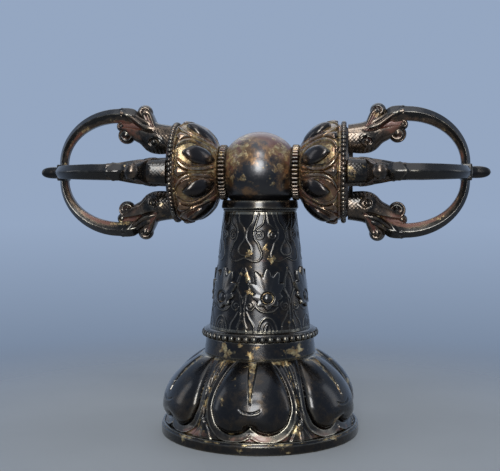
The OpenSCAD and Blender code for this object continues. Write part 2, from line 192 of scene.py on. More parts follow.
def normals_of(points, loop):
    """Unit normals: the cross product of the two slopes, turned so that most point away from the middle."""
    normal = np.cross(slope_of(points, 1, True), slope_of(points, 0, loop))
    normal *= np.sign(np.sum(normal * (points - points.mean((0, 1)))))
    return normal / (np.linalg.norm(normal, axis=-1, keepdims=True) + 1e-12)


def relief_of(points, loop, reach, depth):
    """How far a point stands out of the mean of its surroundings, along its normal, from -1 to 1."""
    smooth = points
    for axis, closed in ((0, loop), (1, True)):
        cell = np.median(np.linalg.norm(slope_of(points, axis, closed), axis=-1)) / (2 if closed else 1)
        most = min(MOST_STEPS, points.shape[axis] // 3)
        smooth = blur(smooth, int(np.clip(round(reach / max(cell, LEAST_CELL)), 1, most)), axis, closed)
    offset = np.sum((points - smooth) * normals_of(points, loop), -1)
    return np.clip((offset - np.median(offset)) / depth, -1, 1)


# %% Closed skins


def skin(points, loop=False, reach=0.9, depth=0.3, gilt=0.0, lacquer=0.0, wear_and_shade=0.0):
    """Closed skin over a grid: columns meet, and rows either meet too or end in a middle point."""
    rows, columns = points.shape[:2]
    index = np.arange(rows * columns).reshape(rows, columns)
    low = index if loop else index[:-1]
    high = np.roll(index, -1, 0) if loop else index[1:]
    quads = np.stack([low, np.roll(low, -1, 1), np.roll(high, -1, 1), high], -1).reshape(-1, 4)
    flat = points.reshape(-1, 3)
    # A positive value raises the relief as wear; a negative one lowers it and darkens the colour as painted
    # shade.
    relief = np.clip(relief_of(points, loop, reach, depth) + wear_and_shade, -1, 1)
    paint = {"relief": relief, "gilt": gilt, "lacquer": lacquer}
    paint = {key: np.broadcast_to(value, (rows, columns)).ravel() for key, value in paint.items()}
    fans = np.zeros((0, 3), int)
    if not loop:
        first, last = index[0], index[-1]
        tail = rows * columns
        fans = np.concatenate([
            np.stack([np.roll(first, -1), first, np.full(columns, tail)], -1),
            np.stack([last, np.roll(last, -1), np.full(columns, tail + 1)], -1),
        ])
        flat = np.concatenate([flat, [points[0].mean(0), points[-1].mean(0)]])
        paint = {key: np.append(value, value[[0, -1]]) for key, value in paint.items()}
    a, b, c, d = (flat[quads[:, k]] for k in range(4))
    if np.sum(np.cross(c - a, d - b) * (a + c - 2 * flat.mean(0))) < 0:
        quads, fans = quads[:, ::-1], fans[:, ::-1]
    return {"points": flat, "quads": quads, "fans": fans, "paint": paint}


def placed(part, shift, turn=np.eye(3)):
    """The same skin turned by a 3 by 3 matrix and shifted."""
    return {**part, "points": part["points"] @ turn.T + np.array(shift)}


# %% From skins to a piece
PAINTS = ("relief", "gilt", "lacquer")
SHARP_ANGLE = math.radians(50)
made = {}


def put(name, data):
    """New object at the origin of the scene."""
    thing = bpy.data.objects.new(name, data)
    bpy.context.scene.collection.objects.link(thing)
    return thing


def mesh_of(name, skins):
    """Joins skins into one smooth mesh in metres, with the paint as values on its points."""
    offsets = np.cumsum([0] + [len(s["points"]) for s in skins[:-1]])
    points = np.concatenate([s["points"] for s in skins]) * MM
    faces = [s[kind] + offset for kind in ("quads", "fans") for s, offset in zip(skins, offsets)]
    sizes = np.concatenate([np.full(len(f), f.shape[1]) for f in faces])
    corners = np.concatenate([f.ravel() for f in faces])
    mesh = bpy.data.meshes.new(name)
    mesh.vertices.add(len(points))
    mesh.vertices.foreach_set("co", points.ravel())
    mesh.loops.add(len(corners))
    mesh.loops.foreach_set("vertex_index", corners)
    mesh.polygons.add(len(sizes))
    mesh.polygons.foreach_set("loop_start", np.cumsum(sizes) - sizes)
    mesh.polygons.foreach_set("use_smooth", np.ones(len(sizes), bool))
    mesh.update(calc_edges=True)
    for key in PAINTS:
        values = np.concatenate([s["paint"][key] for s in skins])
        mesh.attributes.new(key, "FLOAT", "POINT").data.foreach_set("value", values)
    mesh.set_sharp_from_angle(angle=SHARP_ANGLE)
    return mesh


def piece(node, skins, finish):
    """Makes one piece of skins, which stands for a node of the frame and rides on that node's body."""
    mesh = mesh_of("cast_" + node, skins)
    mesh.materials.append(finish)
    thing = put("cast_" + node, mesh)
    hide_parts(node)
    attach(thing, BODY_OF[node])
    made[node] = len(mesh.loops) - 2 * len(mesh.polygons)
    print(f"{node}: {len(skins)} skins, {made[node]} triangles")


# %% [markdown]
# ## The finish
#
# Old cult bronzes are dark from oil, smoke and handling. Where hands touch, edges are rubbed
# down to pale metal. Fire gilding survives as flakes and in the hollows, and red-brown
# lacquer or ochre clings to the ground of the ornament. These layers could be painted on images,
# but noise that is cut at a level needs none and follows every piece. One shader group lays
# the layers over each other, and each material sets how much of each its pieces have.

# %% Small helpers for shader nodes


def fill(tree, sockets, values):
    """Gives sockets their values, or links them where a value is the output of another node."""
    for key, value in values.items():
        if isinstance(value, bpy.types.NodeSocket):
            tree.links.new(value, sockets[key])
        else:
            sockets[key].default_value = value


def add(tree, kind, values=None, **settings):
    """Adds a node, sets its properties, and fills its inputs."""
    node = tree.nodes.new(kind)
    for key, value in settings.items():
        setattr(node, key, value)
    fill(tree, node.inputs, values or {})
    return node


def math_node(tree, operation, a, b=0.0, c=0.0, clamp=False):
    """One arithmetic step. The third value counts only where the step takes three."""
    return add(tree, "ShaderNodeMath", {0: a, 1: b, 2: c}, operation=operation, use_clamp=clamp).outputs[0]


def mix_colour(tree, share, a, b, blend="MIX"):
    """Goes from colour a to colour b, or to their product, as the share goes from 0 to 1."""
    node = add(tree, "ShaderNodeMix", {0: share, 6: a, 7: b}, data_type="RGBA", blend_type=blend)
    return node.outputs[2]


def mix_value(tree, share, a, b):
    """Goes from value a to value b as the share goes from 0 to 1."""
    return add(tree, "ShaderNodeMix", {0: share, 2: a, 3: b}, data_type="FLOAT").outputs[0]


def new_group(name, inputs, outputs):
    """Empty shader group with named sockets, and the sockets inside it."""
    tree = bpy.data.node_groups.new(name, "ShaderNodeTree")
    for way, sockets in (("INPUT", inputs), ("OUTPUT", outputs)):
        for label, kind in sockets.items():
            tree.interface.new_socket(label, in_out=way, socket_type="NodeSocket" + kind)
    return tree, tree.nodes.new("NodeGroupInput").outputs, tree.nodes.new("NodeGroupOutput").inputs


def new_material(name):
    """New material, its tree, and the inputs of its surface shader."""
    material = bpy.data.materials.new(name)
    material.use_nodes = True
    return material, material.node_tree, material.node_tree.nodes["Principled BSDF"].inputs


# %% Patches: where a layer is left and where it is lost


def make_patches():
    """Noise cut at a level that falls as the amount rises: 0 leaves a few specks, 1 covers nearly all."""
    tree, given, out = new_group(
        "patches",
        {"Place": "Vector", "Amount": "Float", "Scale": "Float", "Soft": "Float"},
        {"Mask": "Float"},
    )
    clouds = {"Vector": given["Place"], "Scale": given["Scale"], "Detail": 6.0, "Roughness": 0.62}
    noise = add(tree, "ShaderNodeTexNoise", clouds).outputs[0]
    level = math_node(tree, "MULTIPLY_ADD", given["Amount"], -0.5, 0.75)
    low = math_node(tree, "SUBTRACT", level, given["Soft"])
    high = math_node(tree, "ADD", level, given["Soft"])
    ends = {"Value": noise, "From Min": low, "From Max": high}
    cut = add(tree, "ShaderNodeMapRange", ends, interpolation_type="SMOOTHSTEP")
    fill(tree, out, {"Mask": cut.outputs[0]})
    return tree


patches = make_patches()


def patch_mask(tree, place, amount, scale, soft):
    """One use of the patches group."""
    values = {"Place": place, "Amount": amount, "Scale": scale, "Soft": soft}
    return add(tree, "ShaderNodeGroup", values, node_tree=patches).outputs[0]


# %% Layers: patina, lacquer, gilding and wear
GOLD = (0.55, 0.43, 0.22, 1)
OCHRE = (0.25, 0.148, 0.055, 1)
RED = (0.105, 0.036, 0.020, 1)
RUBBED = (0.27, 0.238, 0.180, 1)
FINE_SCALE = 520.0


def make_old_bronze():
    """Lays brown over dark patina, then lacquer, then gilding, then rubbed metal on what stands out."""
    tree, given, out = new_group(
        "old_bronze",
        {
            "Place": "Vector", "Relief": "Float", "Gilt": "Float", "Lacquer": "Float", "Dark": "Color",
            "Brown": "Color", "Brown Amount": "Float", "Lacquer Amount": "Float", "Gilt Amount": "Float",
            "Wear Amount": "Float", "Dull": "Float",
        },
        {"Colour": "Color", "Metal": "Float", "Roughness": "Float", "Height": "Float"},
    )
    place = given["Place"]

    def step(*values, clamp=False):
        """One arithmetic step in this group."""
        return math_node(tree, *values, clamp=clamp)

    def lay(under, mask, colour, metal, rough):
        """Covers a colour, a metal share and a roughness by others where the mask is 1."""
        shares = [mix_value(tree, mask, a, b) for a, b in zip(under[1:], (metal, rough))]
        return [mix_colour(tree, mask, under[0], colour), *shares]

    proud = step("MAXIMUM", given["Relief"], 0.0)
    deep = step("MAXIMUM", step("MULTIPLY", given["Relief"], -1.0), 0.0)
    fine = add(tree, "ShaderNodeTexNoise", {"Vector": place, "Scale": FINE_SCALE, "Detail": 5.0}).outputs[0]

    brown_level = step("MULTIPLY_ADD", given["Lacquer"], 0.8, given["Brown Amount"])
    brown = patch_mask(tree, place, brown_level, scale=130.0, soft=0.07)
    flecks = patch_mask(tree, place, 0.58, scale=330.0, soft=0.14)
    brown = step("MULTIPLY", brown, mix_value(tree, flecks, 0.4, 1.0))
    patina = mix_colour(tree, brown, given["Dark"], given["Brown"])
    look = [patina, 0.92, step("MULTIPLY_ADD", fine, 0.18, given["Dull"])]

    red_level = step("ADD", given["Lacquer"], given["Lacquer Amount"])
    red = patch_mask(tree, place, step("MULTIPLY_ADD", deep, 0.25, red_level), scale=82.0, soft=0.07)
    look = lay(look, red, RED, metal=0.35, rough=0.44)

    gild_level = step("ADD", given["Gilt"], given["Gilt Amount"])
    gild_level = step("MULTIPLY_ADD", given["Relief"], -0.22, gild_level)
    gild = patch_mask(tree, place, gild_level, scale=190.0, soft=0.05)
    crumbs = patch_mask(tree, place, 0.62, scale=640.0, soft=0.12)
    gild = step("MULTIPLY", gild, mix_value(tree, crumbs, 0.15, 1.0))
    bright = patch_mask(tree, place, 0.46, scale=420.0, soft=0.12)
    look = lay(look, gild, mix_colour(tree, bright, OCHRE, GOLD), metal=0.88, rough=0.40)

    rub = patch_mask(tree, place, given["Wear Amount"], scale=210.0, soft=0.16)
    rub = step("MULTIPLY", rub, step("POWER", proud, 1.7), clamp=True)
    colour, metal, rough = lay(look, rub, RUBBED, metal=1.0, rough=0.27)

    # Colour is multiplied down to 0.55 of itself where the surface lies deepest, so the hollows are darker.
    colour = mix_colour(tree, 1.0, colour, mix_value(tree, deep, 1.0, 0.55), "MULTIPLY")
    height = step("MULTIPLY_ADD", gild, 0.6, fine)
    fill(tree, out, {"Colour": colour, "Metal": metal, "Roughness": rough, "Height": height})
    return tree


old_bronze = make_old_bronze()
print("shader groups:", patches.name, "and", old_bronze.name)

# %% Materials of the pieces
GRAIN_DEPTH = 0.2 * MM
AMOUNTS = ("Brown Amount", "Lacquer Amount", "Gilt Amount", "Wear Amount")
BLACK = (0.017, 0.0155, 0.0155)
UMBER = (0.042, 0.030, 0.020)


def bronze(name, dark, brown, amounts, gloss=0.8, haze=0.16, dull=0.17, bump=0.25):
    """One bronze: the layers, with this piece's amounts of brown, lacquer, gilding and wear, feed a metal."""
    material, tree, surface = new_material(name)
    values = {"Place": add(tree, "ShaderNodeTexCoord").outputs["Object"], "Dull": dull}
    values |= {"Dark": (*dark, 1), "Brown": (*brown, 1), **dict(zip(AMOUNTS, amounts))}
    for key in PAINTS:
        values[key.title()] = add(tree, "ShaderNodeAttribute", attribute_name=key).outputs["Fac"]
    layers = add(tree, "ShaderNodeGroup", values, node_tree=old_bronze).outputs
    grain = {"Height": layers["Height"], "Strength": bump, "Distance": GRAIN_DEPTH}
    fill(tree, surface, {
        "Base Color": layers["Colour"], "Metallic": layers["Metal"], "Roughness": layers["Roughness"],
        "Normal": add(tree, "ShaderNodeBump", grain).outputs[0], "Coat Weight": gloss, "Coat Roughness": haze,
    })
    return material


dark_bronze = bronze("dark_bronze", BLACK, UMBER, (0.42, 0.08, 0.08, 0.66), gloss=0.45)
column_bronze = bronze("column_bronze", BLACK, UMBER, (0.40, 0.02, 0.05, 0.60), gloss=0.35)
emblem_bronze = bronze("emblem_bronze", BLACK, UMBER, (0.36, 0.02, 0.10, 0.55))
ball_bronze = bronze(
    "ball_bronze", (0.034, 0.031, 0.031), (0.215, 0.112, 0.046), (0.46, 0.30, 0.15, 0.4),
    gloss=0.9, haze=0.24, dull=0.24, bump=0.7,
)
cup_bronze = bronze(
    "cup_bronze", (0.028, 0.021, 0.018), (0.265, 0.152, 0.084), (0.62, 0.18, 0.12, 0.45), gloss=0.5,
)
prong_bronze = bronze(
    "prong_bronze", (0.032, 0.028, 0.024), (0.125, 0.088, 0.060), (0.54, 0.08, 0.05, 0.34), gloss=0.45,
)
rod_bronze = bronze("rod_bronze", (0.30, 0.20, 0.10), (0.22, 0.14, 0.07), (0.5, 0.0, 0.1, 0.4))
print("bronzes:", [m.name for m in bpy.data.materials if m.name.endswith("_bronze")])

# %% [markdown]
# ## Foot, neck and collar
#
# These are plain turned rings on the real stand, filed and rubbed so that no edge is sharp.
# A lathe profile could be bevelled by a modifier. Averaging the profile's own points along its
# length rounds every corner at once and keeps the flats flat. Flakes of gilding that have
# outlasted the rest are spots with ragged edges.

# %% Profiles, turning and spots of gilding


def soft_profile(corners, soft, step=0.25):
    """Closed outline through corners, cut into equal steps, with corners rounded by a moving mean."""
    loop = np.array([*corners, corners[0]], float)
    walk = np.concatenate([[0], np.cumsum(np.linalg.norm(np.diff(loop, axis=0), axis=1))])
    at = np.arange(0, walk[-1], step)
    outline = np.stack([np.interp(at, walk, loop[:, k]) for k in (0, 1)], -1)
    return blur(outline, max(1, round(soft / step / 2)), 0, True)


def turned(profile, columns, wobble):
    """Revolves a profile of [radius, height] points round Z, with a radius that sways a little."""
    angle = circle(columns)
    sway = wobble * (np.sin(2 * angle + 1) + 0.6 * np.sin(5 * angle + 2.2) + 0.4 * np.sin(11 * angle))
    return about_z(profile[:, :1] + sway, angle, profile[:, 1:])


def spots(points, places):
    """Gilding left in spots of [angle, height, size]: a bell over the surface whose width is ragged."""
    x, y, z = np.moveaxis(points, -1, 0)
    left = np.zeros(x.shape)
    for turn, height, size in places:
        across = np.hypot(x, y) * np.angle(np.exp(1j * (np.arctan2(y, x) - math.radians(turn))))
        up = z - height
        way = np.arctan2(up, across)
        ragged = 1 + 0.35 * np.sin(3 * way + turn) + 0.25 * np.sin(7 * way)
        left = np.maximum(left, ridge(np.hypot(across, up), size * ragged))
    return left


def scattered(count, low, high, size, seed, turns=(0, 180)):
    """Spots at random places between two heights and two angles, round the back if no angles are given."""
    dice = np.random.default_rng(seed)
    ranges = (turns, (low, high), (0.6 * size, 1.2 * size))
    return np.stack([dice.uniform(*limits, count) for limits in ranges], -1)


# %% Foot and neck
HOLLOW_R, BORE_R, NECK_R = 40.5, 22.5, 27.5
FOOT_LINE = 0.7
foot_outline = [
    [HOLLOW_R, 0], [foot_r, 0], [foot_r, foot_h - 1.3], [foot_r - 0.5, foot_h - 1.2],
    [foot_r - 0.6, foot_h], [foot_r - 1.7, foot_h], [foot_r - 1.9, foot_h - FOOT_LINE],
    [foot_r - 5, foot_h - 0.1], [HOLLOW_R, foot_h - 0.1],
]
foot_points = turned(soft_profile(foot_outline, 0.6), 360, 0.06)
foot_groove = ridge(foot_points[..., 2] - foot_h + FOOT_LINE, 0.5)
foot_spots = [
    [-132, 4.5, 2.6], [-73, 3.5, 3.2], [-95, 2.0, 2.2], [-40, 5, 2.4], *scattered(6, 1, 5, 2.4, seed=3),
]
foot_gilt = 0.30 * foot_groove + 0.52 * spots(foot_points, foot_spots)
piece("foot_ring", [skin(foot_points, True, gilt=foot_gilt)], dark_bronze)

neck_outline = [
    [BORE_R, z_neck], [NECK_R + 0.3, z_neck], [NECK_R - 0.7, z_moulding], [BORE_R, z_moulding],
]
neck_points = turned(soft_profile(neck_outline, 0.5), 288, 0.05)
neck_spots = [
    [-119, z_neck + 2.5, 4.2], [-45, z_neck + 2.5, 4.0], [-92, z_neck, 2.6], [-105, z_neck + 6.5, 1.6],
    *scattered(6, z_neck, z_neck + 5, 3.6, seed=4),
]
neck_gilt = 0.08 + 0.56 * spots(neck_points, neck_spots)
piece("neck_ring", [skin(neck_points, True, gilt=neck_gilt)], dark_bronze)

# %% Collar with the dish for the ball
COLLAR_TOP_R, COLLAR_LOW_R, LIP_H = 19.1, 18.45, 1.1
CORE_R, PLUG_H, PLUG_FIT = 10.0, 12.0, 0.05
SEAT_R = ball_r + 0.3
seat_edge = math.sqrt(SEAT_R**2 - (axis_z - z_collar_top) ** 2)
seat = [[r, axis_z - math.sqrt(SEAT_R**2 - r**2)] for r in seat_edge * np.linspace(1, 0.12, 9)]
collar_outline = [
    [1.5, z_collar - PLUG_H], [CORE_R - PLUG_FIT, z_collar - PLUG_H], [CORE_R - PLUG_FIT, z_collar],
    [COLLAR_LOW_R - 0.4, z_collar], [COLLAR_LOW_R, z_collar + 0.4], [COLLAR_LOW_R, z_collar + LIP_H - 0.3],
    [COLLAR_LOW_R - 0.35, z_collar + LIP_H], [COLLAR_TOP_R + 0.1, z_collar + LIP_H + 0.5],
    [COLLAR_TOP_R - 0.4, z_collar_top - 0.4], [COLLAR_TOP_R - 0.8, z_collar_top], *seat,
]
collar_points = turned(soft_profile(collar_outline, 0.5, 0.36), 264, 0.04)
piece("column_collar", [skin(collar_points, True)], column_bronze)

# %% [markdown]
# ## Lotus base
#
# Six petals swell out of the base like hearts. Each has a vein down from the top, a small
# curved mark below it, a flat rim, and thin ribs between it and the next petal, with
# the tip of a hidden leaf at the foot. A heart could be drawn as a curve and inflated. Here
# the heart is a level of a function, so the distance to its edge is that function's height
# above the level divided by its slope, and rim, groove and ribs follow from that distance.

# %% Wall, heart and distance to an edge
PETALS = 6
PETAL_INSET, LOTUS_WALL, LOTUS_ROOF = 4.3, 4.5, 2.0
HEART_MID = 0.44


def wall_radius(v):
    """Radius of the plain wall behind the petals: upright at the foot, leaning in more and more above."""
    low = foot_r - PETAL_INSET
    return low + (NECK_R + 0.5 - low) * v**2.7


def petal_fold(count, across, first):
    """Angles round a ring of petals, and the share of the way from each petal's middle to its side."""
    share = np.tile((np.arange(across) + 0.5) / across * 2 - 1, count)
    turn = np.repeat(np.arange(count), across) + share / 2
    return np.radians(first + 360 / count * turn), np.abs(share)[None]


def edge_distance(reach, width, up):
    """Distance to where a reach is 1: (reach - 1) / slope, from cell widths and row heights in mm."""
    across = np.gradient(reach, axis=1) / width
    along = np.gradient(reach, axis=0) / np.gradient(up, axis=0)
    return (reach - 1) / (np.hypot(across, along) + 1e-4)


def heart(q, v):
    """Squared reach in a heart: two round lobes low down that join into one rounded form above."""
    lobe = 0.35 * ease(0.38, 0.2, v)
    above = 0.30 + 0.51 * dome((v - HEART_MID) / 0.6)
    half = np.where(v < HEART_MID, 0.81 - lobe, above)
    low = np.where(v < HEART_MID, ((v - HEART_MID) / 0.34) ** 2, 0)
    return ((q - lobe) / half) ** 2 + low


# %% Lotus surface
SWELL, FLARE = 5.6, 1.4
RIM_H, RIM_BEAD_H, RIM_GROOVE = 0.55, 0.3, 0.35
LEAF_HALF, LEAF_TALL, LEAF_H, LEAF_KEEL = 5.2, 9.5, 0.55, 0.5
RIB_H, RIB_OFF, SEAM_DEPTH, VEIN_DEPTH = 0.5, 1.35, 0.8, 1.0
MARK_R, MARK_DEPTH, MARK_LIP = 7.0, 0.45, 0.14


def lotus_grid(rows=104, across=126):
    """Radius over height and angle: a wall plus swelling, rim, ribs and leaf tips, minus vein and marks."""
    v = np.linspace(0, 1, rows)[:, None] ** 1.12
    angle, q = petal_fold(PETALS, across, -90)
    wall = wall_radius(v)
    half_arc = wall * np.pi / PETALS
    slant = 1.12 * lotus_h
    side, up = q * half_arc, v * slant
    reach = np.sqrt(heart(q, v))
    edge = edge_distance(reach, half_arc * 2 / across, up)
    edge = np.clip(np.where(reach < 1, np.minimum(edge, -0.001), edge), -9, 12)
    seam = (1 - q) * half_arc

    belly = SWELL * dome((v - 0.45) / 0.58, 2.3)
    pillow = belly * np.maximum(0, 1 - reach**2) ** 0.42
    open_top = ease(1, 0.9, v)
    rim_end = 3.3 + 1.1 * ease(0.32, 0.1, v)
    rim = band(edge, 0.5, rim_end, 0.3) * open_top
    rim_bead = ridge(edge - rim_end + 0.3, 0.45) * open_top
    groove = ridge(edge - 0.35, 0.35) * open_top
    leaf = ease(0.3, -0.3, seam - LEAF_HALF * (1 - up / LEAF_TALL)) * ease(4.3, 4.7, edge)
    rib = ridge(seam - RIB_OFF, 0.5) * ease(3.5, 3.9, edge) * (1 - leaf) * open_top
    seam_cut = ridge(seam, 0.4) * (1 - leaf) * open_top
    vein_half = 2.0 * ease(0.44, 0.95, v) + 0.1
    vein = ease(1, 0.5, side / vein_half) * ease(0.485, 0.53, v) * ease(1, 0.95, v)
    mark_up = up - 0.45 * slant
    mark_out = np.hypot(side, mark_up - 5.4) - MARK_R
    mark = MARK_LIP * ridge(mark_out - 0.8, 0.45) - MARK_DEPTH * ridge(mark_out, 0.38)
    mark = mark * ease(4.9, 3.6, side) * (mark_up < 3)

    radius = (
        wall + FLARE * ease(0.13, 0, v) + pillow + RIM_H * rim + RIM_BEAD_H * rim_bead - RIM_GROOVE * groove
        + leaf * (LEAF_H + LEAF_KEEL * ridge(seam, 0.8)) + RIB_H * rib - SEAM_DEPTH * seam_cut
        - VEIN_DEPTH * vein + mark
    )
    points = about_z(radius, angle, foot_h + lotus_h * v)
    flakes = [
        [-102, 32, 2.6], [-106, 24, 2.0], [-37, 13, 3.0], [-48, 30, 1.6], *scattered(9, 12, 36, 2.4, seed=5),
    ]
    ground = ease(0.2, 0.7, edge) * (1 - rim) * 0.24 + 0.22 * ease(0.90, 0.97, v)
    gilt = np.clip(0.40 * vein + ground, 0, 0.6) + 0.42 * spots(points, flakes)
    lacquer = 0.35 * ease(0.16, 0.02, v) * ease(-3, 0.5, edge)
    wear_and_shade = rim * (0.30 * ease(0.5, 0.2, v) + 0.8 * ease(0.36, 0.18, v) * ridge(np.degrees(angle) + 68, 10))
    return points, gilt, lacquer, wear_and_shade


# %% Lotus with its hollow


def with_inner_wall(inner, points, *paints):
    """Adds rows of a bare inner wall, from [radius, height] pairs, to close the rows into a loop."""
    inner = np.array(inner)
    angle = np.arctan2(points[0, :, 1], points[0, :, 0])
    bare = np.zeros((len(inner), points.shape[1]))
    rows = np.concatenate([points, about_z(inner[:, :1], angle, inner[:, 1:])])
    return rows, *(np.vstack([paint, bare]) for paint in paints)


lotus_inner = [[BORE_R, z_neck], [BORE_R, z_neck - LOTUS_ROOF]]
for step in np.linspace(1 - LOTUS_ROOF / lotus_h, 0, 9):
    lotus_inner.append([wall_radius(step) - LOTUS_WALL, foot_h + lotus_h * step])
lotus_points, lotus_gilt, lotus_lacquer, lotus_worn = with_inner_wall(lotus_inner, *lotus_grid())
lotus = skin(lotus_points, True, gilt=lotus_gilt, lacquer=lotus_lacquer, wear_and_shade=lotus_worn)
piece("lotus_base", [lotus], dark_bronze)

# %% [markdown]
# ## Bead ring
#
# A string of beads runs round a soft moulding at the foot of the column. On such castings they
# are pushed into the wax one by one, so no two are quite alike. They could be copies of one
# ball. Here each is a small globe whose size comes from a seeded draw.

# %% Beads on the moulding
BEADS, BEAD_R, BEAD_RING_R = 46, 1.72, 27.7
draw = np.random.default_rng(7)


def globe(centre, radius, rows=12, columns=18):
    """Ball as a grid of latitude and longitude: centre + radius (sin u cos a, sin u sin a, cos u)."""
    u = np.linspace(0.04, np.pi - 0.04, rows)[:, None]
    return np.array(centre) + np.array(radius) * about_z(np.sin(u), circle(columns), np.cos(u))


def bead_skins(centres, sizes, axes, rub, *shape):
    """One globe a bead. Its wear eases in between two distances from the axis: rub holds share and both."""
    skins = [skin(globe(centre, size, *shape)) for centre, size in zip(centres, sizes)]
    for bead in skins:
        bead["paint"]["relief"] = rub[0] * ease(rub[1], rub[2], np.hypot(*bead["points"].T[axes]))
    return skins


moulding_outline = [
    [BORE_R, z_moulding], [BEAD_RING_R - 0.8, z_moulding], [BEAD_RING_R - 0.5, z_moulding + 1.6],
    [BEAD_RING_R + 0.3, z_moulding + 2.2], [BEAD_RING_R + 0.2, z_column - 0.8], [BEAD_RING_R - 1.2, z_column],
    [BORE_R, z_column],
]
moulding = skin(turned(soft_profile(moulding_outline, 0.8), 288, 0.05), True)
bead_places = about_z(BEAD_RING_R, circle(BEADS, 0.5), z_moulding + BEAD_R)
bead_sizes = BEAD_R * draw.uniform(0.90, 1.02, BEADS)
beads = bead_skins(bead_places, bead_sizes, [0, 1], (0.7, BEAD_RING_R, BEAD_RING_R + BEAD_R))
piece("column_bead_ring", [moulding] + beads, dark_bronze)

# %% [markdown]
# ## Column
#
# The column is chased with fine raised lines: tongues and scrolls hang from the collar, flames
# rise between the reliefs, and small arches stand at the foot. The lines repeat six times and
# each sixth is its own mirror image, so the angle is folded into half a sixth, and a line needs
# drawing only once. The height at a point follows from its distance to the nearest line.

# %% Chased lines on half a sixth of the column
SIXTHS = 6
PATTERN_TURN = math.radians(-90 + 14.5)
COLUMN_FOOT_R, COLUMN_TOP_R = 25.0, 18.0
LINE_POINTS = 110


def column_radius(z):
    """Straight taper from the foot of the column to its top."""
    return COLUMN_FOOT_R + (COLUMN_TOP_R - COLUMN_FOOT_R) * (z - z_column) / (z_collar - z_column)


def hang(*stops):
    """Smooth line through [share across, distance below the collar] stops."""
    return drawn([[share, z_collar - drop] for share, drop in stops], LINE_POINTS)


def scroll(share, drop, radius, start, turns=1.6, count=120):
    """Spiral that winds in to a centre: its radius shrinks evenly while its angle turns."""
    t = np.linspace(0, 1, count)
    z = z_collar - drop
    angle = np.radians(start) + turns * 2 * np.pi * t
    reach = radius * (1 - 0.88 * t)
    half_arc = column_radius(z) * np.pi / SIXTHS
    return np.stack([share + reach * np.cos(angle) / half_arc, z + reach * np.sin(angle)], -1)


def arch(half_width, height, count=80):
    """Half of a round arch on the foot of the column: an ellipse from its foot to its crown."""
    t = np.linspace(0, np.pi / 2, count)
    half_arc = COLUMN_FOOT_R * np.pi / SIXTHS
    return np.stack([half_width * np.cos(t) / half_arc, z_column + height * np.sin(t)], -1)


chased_lines = [
    hang([0.58, 0], [0.66, 4.5], [0.90, 8], [0.97, 12.5], [0.74, 16.5], [0.69, 18.7], [0.80, 20.4],
         [1, 20.9]),
    hang([0.32, 0], [0.50, 5.8], [0.58, 8.4], [0.60, 10.8], [0.53, 13.2], [0.40, 14.8], [0.32, 17],
         [0.22, 20.3], [0.34, 23.1], [0.60, 23.6], [0.85, 22.6], [1, 21.9]),
    hang([0.06, 0], [0.13, 4.9], [0.32, 7.1], [0.48, 8.4]),
    scroll(0.33, 11.2, 2.5, 60),
    hang([1, 28.2], [0.90, 30], [0.82, 32.1], [0.77, 36]),
    hang([0.95, 26.8], [0.72, 34.6], [0.86, 39.5], [0.92, 45], [0.92, 51], [0.80, 55.4]),
    hang([0.60, 36], [0.80, 38.5], [0.97, 41.5], [1, 44]),
    scroll(0.72, 45, 2.5, 120),
    hang([0.84, 47.5], [0.71, 50.7], [0.56, 53.7], [0.52, 57.6]),
    hang([0, 47.8], [0.25, 47.2], [0.44, 45.3]),
    hang([1, 51.6], [0.87, 54.5], [0.83, 57.6]),
    arch(4.6, 7.3),
    arch(2.8, 4.9),
    arch(1.2, 3.8),
]
print("chased lines in half a sixth:", len(chased_lines))

# %% Column surface
LINE_W, LINE_H = 0.30, 0.24


def line_distance(share, z, half_arc):
    """Distance in millimetres from each point to the nearest chased line, on the unrolled column."""
    least = np.full(share.shape, np.inf)
    for line in chased_lines:
        across = (share[..., None] - line[:, 0]) * half_arc[..., None]
        least = np.minimum(least, np.hypot(across, z[..., None] - line[:, 1]).min(-1))
    return least


def column_grid(rows=226, columns=432):
    """Radius over height and angle: a straight taper plus a fine ridge along each chased line."""
    z = np.linspace(z_column, z_collar, rows)[:, None]
    angle = circle(columns)
    sixth = 2 * np.pi / SIXTHS
    folded = np.abs((angle - PATTERN_TURN + sixth / 2) % sixth - sixth / 2) / (sixth / 2)
    radius = column_radius(z)
    away = line_distance(*np.broadcast_arrays(folded, z, radius * sixth / 2))
    line = ridge(away, LINE_W) * ease(z_column, z_column + 0.8, z) * ease(z_collar, z_collar - 0.5, z)
    points = about_z(radius + LINE_H * line, angle, z)
    flakes = [
        [-96, 71.5, 3.2], [-98, 89.7, 2.3], [-77, 92.6, 1.8], [-69, 86.7, 1.5], [-102, 79.7, 2.4],
        [-103, 54, 1.8], [-115, 61, 1.6], [-25, 80.8, 2.6], [-127, 80, 1.8], [-126, 70, 1.8],
        *scattered(12, 56, 106, 2.4, seed=6),
    ]
    return points, 0.26 * line + 0.55 * spots(points, flakes)


column_inner = [
    [CORE_R, z_collar], [CORE_R, z_neck], [BORE_R - 0.1, z_neck], [BORE_R - 0.1, z_column - 0.2],
]
column_points, column_gilt = with_inner_wall(column_inner, *column_grid())
column_skin = skin(column_points, True, reach=1.2, depth=0.22, gilt=column_gilt)
piece("column", [column_skin], column_bronze)

# %% [markdown]
# ## Reliefs on the column
#
# Six raised emblems stand round the column. Each is a jewel in flames, a sign found on much
# temple metalwork. A relief is a height over a flat patch that is then wrapped on the cone. A
# cut-out shape could be wrapped too, but where this height is below zero the patch dips into the
# column, so its border needs no trimming.

# %% Flaming jewels
JEWEL_R, RELIEF_H, RELIEF_ROOT = 4.0, 1.3, 0.9
# Each flame has the angle it leans by, its length and its width.
FLAMES = [[0, 12.4, 6.6], [24, 12, 6], [50, 9, 5.6], [84, 5.6, 5], [125, 4.2, 4.6], [180, 3.8, 4.6]]
emblem_z = z_column + 16.5


